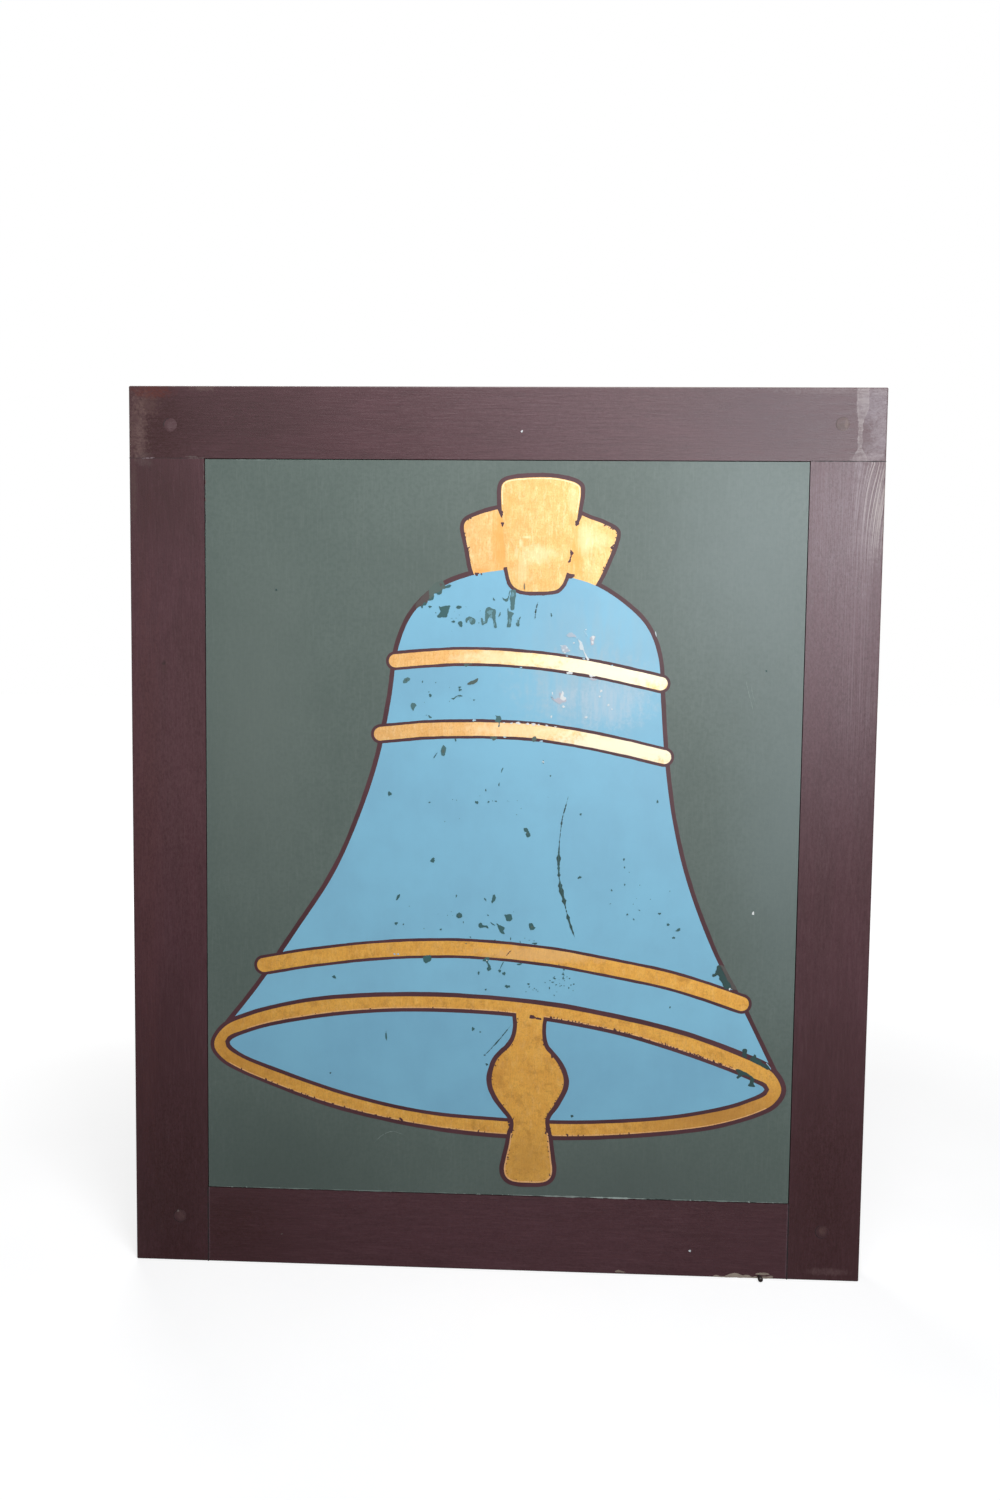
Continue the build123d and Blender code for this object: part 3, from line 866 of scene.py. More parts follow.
# The bell's body: two sides from the rim to the crown, with a line outside each
left_side = smooth_line([
    (-374, 344), (-331, 400), (-277, 480), (-226, 560), (-191, 640), (-165, 720), (-149, 800),
    (-138, 875), (-119, 918), (-84, 951), (-37, 970), (6, 977.5),
], 200)
right_side = smooth_line([
    (383, 292), (339, 380), (296, 460), (257, 560), (237, 640), (225, 720), (218, 800),
    (213, 862), (197, 902), (167, 932), (127, 957), (90, 969),
], 200)
sheet_of_paint("bell_body", left_side, right_side, 3, blue_paint)
stroke("body_line_left", left_side, line_width + wavy(200, 0.4, 1), 1.5, 0.8, line_paint)
stroke("body_line_right", right_side, 1.5, line_width - 0.5 + wavy(200, 0.4, 2), 0.8, line_paint)

# Three bands across the body
bands = [
    ("upper_band", 9.0, band_gold,
     [(-152, 852), (-100, 857.2), (-40, 860), (50, 855.8), (130, 844.5), (226, 824.5)]),
    ("second_band", 9.3, band_gold,
     [(-172, 752), (-100, 759.5), (-25, 761.5), (50, 759), (130, 747), (233, 725)]),
    ("lower_band", 10.0, dull_gold,
     [(-334, 427), (-260, 440.5), (-160, 453), (-50, 458), (60, 450.5), (160, 434.5), (250, 416.5),
      (346, 386)]),
]
for number, (name, half_width, leaf, points) in enumerate(bands):
    path = smooth_line(points, 100)
    bar(name + "_line", path, half_width, thin_line_width, 4, line_paint, 10 + number)
    bar(name, path, half_width, 0.0, 5, leaf, 20 + number)

# The rim: a gold ring with a line round each side, and the blue inside it
rim_sides = outline(
    [(-395, 314), (-381, 339), (-340, 358), (-260, 378), (-160, 387.5), (-60, 389), (60, 381),
     (160, 365), (260, 342), (340, 314), (381, 294), (394, 269)],
    [(-381, 293.5), (-300, 257), (-200, 226), (-60, 202), (80, 196), (200, 203), (300, 217),
     (360, 236), (384, 250)], 200)
inside_sides = outline(
    [(-373, 318), (-340, 335), (-260, 353.5), (-160, 365.5), (-60, 367.5), (40, 362), (160, 343),
     (240, 321.5), (320, 294.5), (355, 280), (371, 270)],
    [(-360, 304.5), (-300, 280.5), (-200, 248.5), (-100, 228), (0, 220.5), (80, 218.5),
     (160, 221.5), (260, 232.5), (340, 252.5)], 200)
across_sides = np.linspace(0, 1, 200)
outer_width = np.concatenate([
    np.interp(across_sides, [0, 0.08, 0.3, 0.5, 0.7, 0.94, 1], [5.6, 5.6, 5.8, 6.4, 7.1, 6.8, 7.0]),
    np.interp(across_sides, [0, 0.08, 0.36, 0.6, 0.9, 1], [7.0, 5.8, 6.3, 5.7, 4.8, 5.6])[1:-1],
])
tip_swell = np.interp(across_sides, [0, 0.03, 0.97, 1], [1.6, 0, 0, 1.6])
inner_width = 5.2 + np.concatenate([tip_swell, tip_swell[1:-1]])
sheet_of_paint("rim_line", *widened(rim_sides, outer_width, 0.5, 31), 4, line_paint)
sheet_of_paint("rim_gold", *widened(rim_sides, 0.0, 0.3, 32), 5, dull_gold)
sheet_of_paint("rim_inner_line", *widened(inside_sides, inner_width, 0.3, 33), 6, line_paint)
sheet_of_paint("bell_inside", *inside_sides, 7, inner_blue)
# Pale strips along the edges of the rim's gold, partly the leaf's edge and partly a painted highlight.
stroke("rim_edge_foot", rim_sides[1][8:-8], 1.4, -0.1, 5.5, gold_edge)
stroke("rim_edge_top", shifted(inside_sides[0], 5.2)[8:-8], 1.5, 0.2, 5.5, gold_edge)

# The clapper hangs plumb: its stem, ball and tail in one outline. The stem runs into the rim's gold,
# so its line goes down one side, round the tail and up the other.
clapper_sides = outline(
    [(47, 130), (32, 130.4), (22.5, 132.8), (17, 138), (15, 147), (17, 160), (21.3, 180), (24.3, 200),
     (26, 209), (25.2, 217), (21, 224.5), (9.5, 239), (1.5, 251), (-4, 264), (-5.3, 276), (-3, 290), (1, 301),
     (8.4, 310.5), (18.2, 320), (24.5, 330), (27.6, 340), (29, 352), (29.5, 373)],
    [(62, 130.3), (71.5, 132.6), (77, 138), (78.7, 147), (77.2, 160), (74.8, 180), (72, 200), (70.5, 209),
     (69.8, 217), (72, 225), (81.5, 240), (88, 252), (93.4, 264), (94.6, 276), (90.6, 290), (84.6, 301),
     (77, 310.5), (68.6, 320), (65.2, 330), (63.9, 340), (64, 352), (64, 371)], 200)
sheet_of_paint("clapper", *clapper_sides, 9, dull_gold)
round_clapper = np.vstack([clapper_sides[0][::-1], clapper_sides[1][1:]])
rim_level, rim_fall = 369.4, 0.1
below_rim = round_clapper[:, 1] < rim_level - rim_fall * round_clapper[:, 0]
round_clapper = even_steps(round_clapper[below_rim], 300)
tail_top = 200
# The pale strip round the clapper's foot is partly the leaf's edge and partly a painted highlight.
stroke("clapper_edge", round_clapper[round_clapper[:, 1] < tail_top], 0.2, 1.8, 9.2, gold_edge)
clapper_width = np.interp(round_clapper[:, 1], [130, 150, 190, 212, 240, 275, 310, 335, 350],
                          [7.8, 8.2, 7.4, 5.8, 6.6, 7.4, 6.4, 5.8, 5.6])
stroke("clapper_line", round_clapper, 0.6, clapper_width + wavy(300, 0.4, 41), 8, line_paint)


# The crown: a loop at each side and one in the middle over them
left_loop = outline(
    [(-20, 968), (-35, 968.5), (-39, 975), (-44.5, 1000), (-51.5, 1034), (-50, 1040), (-45, 1044.5),
     (-35, 1049), (-18, 1054.5), (6, 1058)],
    [(4, 976), (16, 1000), (16, 1040)], 90)
right_loop = outline(
    [(108, 954), (124, 954.5), (129, 961), (141, 986), (153.5, 1021), (154, 1028), (150, 1032.5),
     (138, 1038.5), (120, 1045), (98, 1051)],
    [(92, 964), (84, 990), (86, 1030)], 90)
middle_loop = outline(
    [(46, 948.2), (31, 948.6), (22, 951.2), (15, 956.6), (11, 965), (4.4, 1000), (0, 1050), (-1.8, 1081),
     (-0.6, 1090), (4, 1095), (14, 1098), (30, 1099.6), (52, 1100.5)],
    [(66, 949), (75, 951.2), (80.4, 956), (85.4, 965.4), (93, 1000), (101, 1048), (105, 1080), (104, 1088.5),
     (98.5, 1093), (88, 1096.5), (72, 1099.6)], 140)
sheet_of_paint("left_loop_line", *widened(left_loop, 5.5, 0.4, 51), 1.2, line_paint)
sheet_of_paint("right_loop_line", *widened(right_loop, 5.5, 0.4, 52), 1.2, line_paint)
sheet_of_paint("left_loop", *left_loop, 2, loop_gold)
sheet_of_paint("right_loop", *right_loop, 2, loop_gold)

# The middle loop's line goes over its top and round its foot, but not where gold meets gold
sheet_of_paint("middle_loop", *middle_loop, 6, gold)
over_top = smooth_line([
    (0.2, 1046), (-1.8, 1081), (-0.6, 1090), (4, 1095), (14, 1098), (30, 1099.6), (52, 1100.5), (72, 1099.6),
    (88, 1096.5), (98.5, 1093), (104, 1088.5), (105, 1080), (101.5, 1052), (99.5, 1036)], 140)
from_end = np.minimum(np.arange(140), np.arange(140)[::-1])
fading = np.clip(from_end / 9, 0, 1) ** 0.6
round_foot = smooth_line([
    (7, 981), (11, 965), (15, 956.6), (22, 951.2), (31, 948.6), (46, 948.2), (66, 949), (75, 951.2),
    (80.4, 956), (85.4, 965.4), (88.6, 974)], 100)
stroke("middle_loop_line_top", over_top, 5.8 * fading + wavy(140, 0.4, 53), 0.8, 5, line_paint)
stroke("middle_loop_line_foot", round_foot, 0.8, 5.0 + wavy(100, 0.4, 56), 5, line_paint)
stroke("middle_loop_edge", over_top[12:-12], -0.8, 2.2, 6.3, loop_edge)


# Wear on the picture. Each outline is one place where the paint has chipped or been rubbed.

# Traces of line paint on the gold
chips("line_traces", [
    [(-3, 1054), (0, 1056), (1.5, 1052), (0, 1049), (-2.5, 1050)],
    [(-1.5, 1040), (1.5, 1041), (2.4, 1037), (0.4, 1035.5), (-1, 1037)],
    [(92, 1004.5), (94.8, 1003.5), (96.3, 999.5), (94.3, 997), (93.5, 991), (91.6, 987.4), (90, 988),
     (91.2, 993), (92.8, 998)],
    [(98, 1042), (102, 1043), (103, 1038), (99.6, 1036)],
    [(88, 972), (93, 973), (99, 970), (96, 967), (89, 967)],
    [(-35, 973), (-31, 972), (-32, 969), (-36, 969.5)],
    [(-28.5, 972), (-26, 971.4), (-27, 969.6)],
    [(45.5, 362.6), (46.4, 366), (50, 366.4), (54, 364.4), (58, 363.4), (62, 362), (61.6, 360.2),
     (56, 360.6), (52, 362), (49, 361.4)],
], 9.5, line_paint, 90, 0.8)

# Nicks in the gold, along the edges of its lines
rim_top_inside = shifted(inside_sides[0], 5.9)
rim_foot = shifted(rim_sides[1], 0.7)
flakes("line_nicks", np.vstack([
    nicks(301, between(rim_top_inside, 72, 330), 90, 1.7, 0.6),
    nicks(302, between(rim_top_inside, -340, 20), 16, 1.3, 0.4),
    nicks(303, between(rim_foot, -360, 10), 34, 1.8, 0.6),
    nicks(304, between(rim_foot, 70, 200), 12, 1.6, 0.5),
    nicks(305, shifted(round_clapper, 0.9), 60, 1.6, 0.5),
    nicks(306, np.array([[20.0, 214], [19, 200]]), 5, 2.0, 0.8),
    nicks(307, np.array([[73.0, 214], [74, 200]]), 6, 2.2, 0.9),
    nicks(308, right_loop[0][20:70], 26, 1.8, 0.6),
    nicks(309, left_loop[0][20:60], 14, 1.6, 0.6),
]), 9.3, line_paint, 11)

# The panel's arris, worn through along its joints. Along the foot the pale line is partly worn paint and
# partly a painted highlight.
foot_level = panel_low[2] + 0.4
for row in (
    ("worn_arris_top", [(-368, 1121.9), (-340, 1121.6), (-318, 1121.8), (-298, 1121.7)],
     0.8, 1, faint_rub, 69),
    ("worn_arris_foot_left", [(x, foot_level) for x in (-400, -250, -40)], 1.0, 1, faint_rub, 70),
    ("worn_arris_foot_right", [(x, foot_level) for x in (20, 100, 250)], 1.6, 1, foot_rub_and_highlight, 71),
    ("worn_arris_foot_end", [(x, foot_level) for x in (200, 300, 404)], 1.0, 1, faint_rub, 73),
):
    scratch(*row)
# Pale flecks along the foot joint, worn paint and painted highlight.
foot_joint = np.array([[-390.0, foot_level], [400, foot_level]])
flakes("foot_flecks", nicks(310, foot_joint, 50, 1.0, 0.3), 1.2, foot_rub_and_highlight, 12)

# Under the crown: two long drips of lost paint and the chips beside them
chips("chips_under_crown", [
    [(-84.5, 928), (-81, 926.5), (-75, 928), (-68.5, 928), (-70, 924), (-72, 918), (-74, 913), (-79, 912.3),
     (-86.5, 912.3), (-86.5, 914.5), (-83.5, 917), (-82.5, 921), (-84, 924.5)],
    [(-61, 926), (-58, 928.8), (-53.5, 927), (-54, 924.8), (-60.5, 924.6)],
    [(-58, 905), (-55, 908), (-53.2, 907), (-52, 900.5), (-55.5, 900.3)],
    [(-67, 907), (-65, 908.4), (-62, 907.4), (-63, 905.8), (-66, 905.8)],
    [(-99, 927), (-96, 928), (-94, 926.6), (-97, 925)],
], 10, thin_green, 100)
chips("films_under_crown", [
    [(-48, 906.5), (-47.5, 910.5), (-43, 914), (-38, 912.5), (-34.5, 908.5), (-35.5, 904.5), (-39, 902.8),
     (-41.5, 905), (-42, 909), (-44.5, 909), (-45.5, 905.4)],
    [(-27, 911.5), (-25, 912), (-23.5, 908), (-19.5, 909), (-19, 905), (-22, 904), (-24.5, 902.3),
     (-26.5, 905)],
    [(-20.5, 924.5), (-16, 926.5), (-11, 924.5), (-7.5, 924), (-7, 917), (-7.4, 908), (-5.5, 899.5),
     (-8.5, 899), (-10.5, 905), (-11.5, 911), (-14.5, 915), (-17.5, 911), (-19, 906), (-21.5, 908),
     (-21.5, 918)],
    [(-3.5, 913.5), (-2.5, 918), (-0.5, 920.5), (-1, 916)],
    [(12, 950), (10.5, 946), (8.5, 939.5), (6, 938), (3, 938.6), (1, 940.5), (3, 936.4), (7.5, 934.6),
     (10, 938), (11.5, 944)],
    [(12.5, 950), (19, 950), (19.5, 942), (18.6, 932), (17, 924), (13, 923.5), (12.6, 930), (12, 940),
     (13.4, 946)],
    [(9, 926), (10.5, 921.5), (14, 921), (17.5, 918.5), (14.8, 914), (13.8, 906), (13.2, 900.3), (8.4, 900),
     (9.4, 908), (8.6, 916)],
    [(26.5, 914.5), (24, 912), (23, 908), (20.5, 905.5), (20.6, 902), (24.5, 901.6), (25, 906), (25.4, 911)],
    [(-11, 939.5), (-9.5, 938.5), (-8.5, 936), (-10.4, 936)],
], 10, film_green, 110)
flakes("thin_in_films", [
    (-15, 920, 8, 5.5), (-13.5, 914.5, 4, 4, 30), (-41, 909, 5, 5), (15.5, 944, 4, 7), (12, 908, 3, 7),
    (-9, 904, 1.6, 5), (22.6, 908, 2, 5), (-22.5, 906.6, 4, 2.4),
], 10.5, pale_film, 13)
chips("line_lost_on_shoulder", [
    [(-97, 935), (-92.5, 937), (-91, 940.5), (-90, 944), (-83, 943.5), (-81, 946), (-79.5, 950), (-75, 953),
     (-76.5, 957), (-79, 961.5), (-86, 960), (-93, 955.5), (-98, 950), (-99.5, 943)],
], 10, lost_line, 120, 1.0)
chips("line_thin_on_shoulder", [
    [(-116, 926), (-109, 926.5), (-105, 928.5), (-101, 931), (-100, 935), (-97, 936), (-97.4, 942),
     (-98, 948), (-103, 944), (-109, 938.5), (-114, 932.5)],
    [(-83.5, 957), (-81, 958.4), (-79.6, 956), (-82, 954.6)],
], 10.5, thin_line, 125, 1.0)
chips("chips_in_shoulder", [
    [(-109, 927), (-106.5, 924.5), (-105, 928), (-102, 929), (-101, 932), (-103, 932.5), (-106, 930)],
    [(-99, 937), (-95.5, 935), (-92, 937), (-91, 941), (-93, 940), (-95, 938)],
    [(-90, 944.5), (-86.5, 944), (-83, 943), (-81.5, 946), (-80, 949.5), (-82.5, 948.5), (-85, 946)],
    [(-76, 951.5), (-70, 953), (-67.5, 955.5), (-71, 956.5), (-75, 955)],
], 11, thin_green, 130, 0.6)

# Between and below the two upper bands
chips("chips_on_waist", [
    [(-133, 823), (-131, 828), (-126, 831), (-123, 828), (-125, 825), (-129, 823)],
    [(-122, 791), (-121, 795), (-117, 796), (-114, 793), (-116, 790), (-118, 785), (-120, 788)],
    [(-98, 779), (-95.5, 779), (-93, 775.5), (-96, 776.3)],
    [(-67, 803), (-63, 801.5), (-60, 804), (-55, 806), (-51, 805.5), (-54, 808), (-58, 806.8), (-62, 804.2)],
    [(-77, 739), (-73.5, 736), (-73, 731), (-75, 725), (-78, 724.5), (-80, 727), (-79.5, 733)],
    [(-84.5, 728.5), (-87, 725.5), (-91, 720), (-88.5, 722), (-86, 727)],
    [(-6, 781), (-4, 780), (1, 779), (2, 773), (0, 771), (-0.5, 765), (-2, 765), (-2, 771), (-6, 772),
     (-5, 777)],
], 10, film_green, 140)
chips("rubs_on_waist", [
    [(-45, 822), (-41, 826), (-35, 828.5), (-30, 830.5), (-31, 826), (-36, 823), (-42, 821.5)],
    [(-13, 751), (-6, 752), (-3, 751), (-5, 748), (-9, 746), (-10.5, 749)],
    [(45, 751), (49, 753), (50, 748), (47, 745), (44, 747)],
    [(-50, 849), (-44, 850.5), (-38, 850), (-43, 848.5), (-47, 846)],
    [(-77.4, 733), (-75.6, 733), (-75.8, 728.5), (-77.6, 728.5)],
], 11, lost_line, 150, 0.4)

# On the skirt and at the lower band
chips("chips_on_skirt", [
    [(-57, 504), (-55, 507), (-51, 507.5), (-48.5, 504.5), (-50, 501), (-54, 500)],
    [(-26, 489), (-25, 494), (-22, 494), (-20, 491), (-15, 491), (-12, 487), (-17, 488), (-23, 487.5)],
    [(-1, 494), (3, 491.5), (9.5, 489), (10, 486), (8, 484), (11, 479.5), (6, 480), (3, 484), (1, 488)],
    [(9, 506), (14, 506.5), (19, 507), (20, 500), (17, 497), (13, 498), (11, 503)],
    [(44, 490), (44, 495), (48, 495), (50, 491), (53, 489), (49, 486), (45, 486)],
    [(-101, 446), (-92, 447), (-91, 440), (-95, 438), (-99, 436), (-102, 440)],
    [(-20, 441), (-17, 445), (-10, 446), (-12, 441), (-10, 436), (-8, 430), (-12, 427), (-14, 430),
     (-12, 434), (-15, 440)],
    [(-8, 522), (-7.6, 529), (-4.6, 534.6), (-2.6, 531), (-4.4, 524.6)],
    [(-140, 523.5), (-139, 529), (-135, 532.5), (-136.4, 526)],
    [(-18.5, 529), (-16.5, 528), (-15, 524.5), (-17.5, 526)],
    [(34, 626), (38, 627), (42, 622), (44, 617), (40, 614), (37, 618), (39, 621), (36, 622)],
], 10, thin_green, 160)
flakes("specks_in_chips", [
    (-52.5, 503.5, 2.6, 2.6), (47.5, 490, 2.4, 3.0), (-128, 827, 2.8, 2.2, 20), (39.5, 619.5, 2.0, 2.6),
], 11.5, lost_line, 5)

# At the right edge of the skirt and round the rim's right tip
chips("lost_at_right_edge", [
    [(303, 441.5), (302, 438), (300.5, 434), (299, 430), (296, 429.5), (295.6, 427), (298, 425),
     (300.5, 426.5), (303, 428.5), (305, 427), (305.5, 423), (307.5, 420), (310, 417), (311.5, 413),
     (312, 410), (318, 408.5), (323, 410), (321, 416), (317, 422), (313, 429), (309, 437), (306.5, 442)],
], 10, old_green, 180, 0.7)
chips("thin_at_right_edge", [
    [(306.5, 442), (309, 437), (313, 429), (317, 422), (321, 416), (323, 409.5), (330, 408), (327.5, 413),
     (324, 419), (320.5, 426), (316, 433), (312, 440)],
], 10.1, thin_line, 183, 0.7)
chips("chips_at_right_tip", [
    [(339.7, 325.8), (345.4, 325.8), (345.4, 319), (345.6, 313.5), (341.5, 315), (338.5, 317.2),
     (339.8, 320)],
    [(350.5, 313), (354, 316), (356.5, 319), (358.5, 316.5), (359.5, 312.6), (361.5, 312), (364, 311.5),
     (366, 308), (370, 305.5), (373, 303.5), (374, 306.5), (375.3, 305), (377, 301.5), (378, 298.5),
     (374, 297.8), (370, 300.3), (365, 302.6), (360, 305), (355, 307.4), (351, 309.6)],
    [(331, 297), (333, 293), (335, 290.5), (333, 287.4), (332.2, 285.6), (334, 284.4), (336.5, 285.6),
     (339, 287.4), (340.5, 289.4), (345, 289), (349, 287), (351, 286.5), (351, 282), (350.4, 278.4),
     (348.3, 275.6), (349.5, 273.8), (353, 273.4), (358, 273.8), (356.8, 276), (356, 279), (357, 283),
     (355, 286.4), (351, 289.6), (346, 292.6), (340, 295), (336, 297.4)],
], 10, old_green, 186, 0.4)
tip_line = smooth_line([(372.6, 307), (375, 304.2), (377.5, 301), (379, 298.6)], 12)
stroke("pale_line_at_tip", tip_line, 0.45, 0.45, 11, soft_scuff)

# Rubs and knocks that show pale
chips("pale_knocks", [
    [(104, 884.5), (107, 883.5), (110, 880), (111.5, 875), (112.5, 871), (116, 864), (120, 857.5),
     (118, 857), (114, 864), (111, 870), (108, 871), (106.5, 875), (106.8, 880)],
    [(84.6, 815), (86, 812), (86.4, 807.5), (89.6, 806), (88, 802.4), (84.6, 802), (82, 804), (82.6, 809)],
    [(123.4, 889.6), (126.4, 889), (126, 885), (124.6, 884)],
    [(122.4, 882.6), (125.4, 882), (124.6, 878.4)],
    [(89.5, 839), (93, 841), (98, 840), (97, 838), (92, 838)],
    [(120.5, 837), (124, 836.5), (129, 835.6), (125, 834.6), (121, 835)],
], 11, pale_scuff, 200, 0.5)
chips("pink_knocks", [
    [(69.4, 808.6), (71.4, 805), (75, 803.4), (78.6, 805), (82, 806), (86, 805.6), (90, 804), (88.6, 800.4),
     (84.6, 799), (80.4, 796.4), (77.6, 799), (74.4, 801.4), (71.6, 803.4)],
    [(121, 887), (123, 889.6), (127, 889), (126.4, 884), (125.8, 880), (123.4, 877), (121.4, 880),
     (122, 883.6)],
    [(89, 890.4), (93, 893.4), (98, 892.6), (102, 888.4), (97, 887.6), (91.6, 888)],
    [(82, 874.6), (86, 877), (91, 873.4), (93, 870), (88.6, 867), (85, 866), (83, 870)],
    [(80.4, 811), (82, 813), (82.4, 808.6), (80.8, 808)],
    [(120, 832), (125, 833), (131, 830), (126, 829.6)],
], 10.5, pink_scuff, 210, 0.9)
scratch("pale_streak_1", [(100, 891), (102, 887.6), (105, 884)], 1.4, 10, soft_scuff, 211)
scratch("pale_streak_2", [(112, 897), (114.6, 893), (117.6, 889)], 1.2, 10, soft_scuff, 212)

flakes("small_chips", [
    (68, 917, 2, 5), (-106, 825, 1.6, 3), (-95, 806.5, 4, 4), (-55, 818, 3.6, 2.6), (-54.5, 814.5, 4, 3),
    (-60, 746, 2.6, 3.2), (-150, 671, 6, 5, 30), (-95, 660, 2.4, 2), (-30, 661, 4.5, 4), (-14, 662, 3, 2.2),
    (-4, 663, 2.6, 2), (112, 647, 3.4, 2.6), (216, 666, 3, 3.6), (60, 718, 2, 4), (70, 699, 2.4, 2),
    (0, 686, 1.6, 5, -12), (-18, 678, 2, 3), (4, 706, 1.5, 7, -18), (-90, 580, 6.5, 6),
    (112, 560, 5, 3.4, 20), (172, 586, 2.6, 3), (173, 575, 2, 2.4), (156, 543, 2.4, 2.6),
    (-57, 531, 1.6, 4), (-140, 491, 3.8, 4.6, -30), (-130, 490, 2, 2), (-78, 484, 2.6, 2.4),
    (-13, 505, 2, 2), (-6.5, 493, 6.5, 1.8, -35), (222, 512, 3.8, 2.8), (234, 497, 4.6, 3, 20),
    (248, 490, 7, 3.4, 25), (242, 479, 3.8, 3), (178, 510, 2.6, 2.4), (-25, 424, 3, 4),
    (4, 427.5, 3.4, 4.4), (7, 436, 1.4, 11, -28), (10, 424, 4, 5), (31, 437.5, 6, 2.6, 10),
    (15, 406, 6.5, 4.4), (44, 410, 3, 2.6), (-15, 401, 2.6, 2.2), (-226, 414, 5, 4), (239, 382, 1.8, 3),
    (-32, 345, 4.6, 4.4), (-22, 341, 2.2, 2), (-12, 295, 3, 2.4), (-153, 332, 2.2, 13, 3), (107, 225, 4, 3),
    (18.5, 473, 1.4, 4), (52, 467, 7, 2.4, -8), (31, 955, 1.2, 7, 4),
], 10.1, thin_green, 6)
flakes("dark_dots", [
    (-306.5, 947.5, 2.6, 2.4), (358, 845, 2.4, 2.2), (-231, 277.5, 2.4, 2.4), (-15.4, 308.4, 2.6, 2.2),
    (-12.4, 295.5, 3.6, 2.4), (107, 225, 3.6, 3.4),
], 10.3, old_green, 16)
specks = scattered(7, [
    (92, 418, 10, 10, 30, 1.5), (60, 404, 14, 6, 8, 1.4), (-8, 655, 40, 10, 12, 1.0),
    (-70, 800, 26, 22, 10, 1.0), (196, 530, 26, 24, 10, 1.2), (-60, 500, 44, 18, 10, 1.0),
    (20, 470, 30, 3, 8, 1.3), (-30, 912, 34, 10, 12, 1.0),
])
flakes("fine_specks", specks, 10.2, thin_green, 8)
flakes("pale_dots", [
    (137, 815.5, 3.4, 3), (135, 808, 3, 2), (147, 796.5, 3, 2.4, 20), (152, 791, 2.2, 1.6, -30),
    (117, 779.5, 3.4, 2.6), (86, 793, 3, 2, -20), (70, 779.5, 2, 3.4), (320, 409.5, 2.6, 3),
    (118, 780, 2.4, 2), (92, 840, 4, 1.6), (6, 770.5, 3, 1.6), (16, 770, 4, 2), (25, 770.5, 7, 3.2),
    (38, 769.5, 5, 2.4), (46, 769, 6, 3.2), (53, 768.4, 3.6, 2), (64, 767.4, 4, 2.2), (76, 766, 3, 1.6),
    (60, 718, 3, 2), (115, 898, 2, 1.4), (-14, 442, 2, 1.6), (349, 515, 3.2, 4, -20), (25, 1161, 2.4, 3),
    (209, 893, 1.4, 6, 12), (85, 870, 3.6, 2.6), (89.4, 873.4, 3.4, 2.2, 20), (82.4, 875.6, 3, 1.6, -20),
    (87, 866.4, 2.6, 1.8), (93, 869.6, 2, 1.6), (71, 811.6, 1.2, 3.6), (86.4, 794, 3.6, 2.4),
    (99, 880, 2.6, 2), (274, 37, 2.6, 3),
], 11, pale_scuff, 9)
flakes("pale_flecks_on_foot", [(-300, 43, 4, 1.6, 8), (-448, 72, 2.6, 3.4, 0)], 1, worn_wood, 17)
flakes("band_breaks", [
    (-35, 773.5, 5, 2.6), (7, 751, 4, 2), (90, 862, 3, 1.6), (113, 858.5, 4, 1.8), (151, 850, 2.4, 2),
    (28, 846, 3, 1.6), (-142, 448, 3, 2), (-137, 448, 2.4, 2.2), (57, 746, 5, 2, -5),
], 11, soft_scuff, 10)

# The paint has opened along the joints of the frame and round its pegs
left_pale, right_pale, pale_foot = joint_left + 1.9, joint_right - 1.8, 4
for row in (
    ("joint_top_right", (joint_right, joint_top), (side_right, joint_top), 1.1, joint_dark, 401),
    ("joint_top_left", (side_left, joint_top), (joint_left, joint_top), 0.6, joint_dark, 409),
    ("joint_foot_left", (joint_left, 0.1), (joint_left, joint_foot), 1.5, joint_dark, 402),
    ("joint_foot_right", (joint_right, 0.1), (joint_right, joint_foot), 1.4, joint_dark, 403),
    ("joint_foot_left_pale", (left_pale, pale_foot), (left_pale, joint_foot), 0.9, joint_pale, 404),
    ("joint_foot_right_pale", (right_pale, pale_foot), (right_pale, joint_foot), 0.8, joint_pale, 405),
):
    joint(*row)
for row in (
    ("joint_top_left_smear", [(-490, 1123), (-484, 1123.4), (-478, 1123.6), (-472, 1124.4)],
     1.2, 0.7, stain, 406),
    ("joint_top_left_smear_2", [(-431, 1126), (-421, 1125.8), (-412, 1126)],
     1.0, 0.6, worn_wood, 407),
    ("joint_top_left_smear_3", [(-428, 1123.6), (-416, 1123.8), (-404, 1124)],
     1.0, 0.7, worn_wood, 408),
):
    scratch(*row)
flakes("opened_joint_left", [
    (-404.2, 1079, 1.8, 14), (-404.5, 1061, 1.4, 9, 2), (-404.1, 1045, 2.0, 16, -2),
    (-404.5, 1022, 1.4, 10), (-404.3, 1003, 1.6, 7), (-404.4, 984, 1.2, 9),
], 1.2, joint_dark, 14)
flakes("pale_joint_left", [
    (-405.4, 1112, 1.2, 10), (-403.4, 1092, 1.2, 7), (-403.2, 1068, 1.0, 5), (-405.6, 1098, 1.0, 6),
], 1.4, worn_wood, 15)
for row in (
    ("top_right", 70, 250, 1.0, peg_shade), ("top_left", 100, 200, 0.9, joint_dark),
    ("bottom_left", 60, 330, 0.6, joint_dark), ("bottom_right", 100, 300, 0.6, joint_dark),
):
    peg_ring(*row)

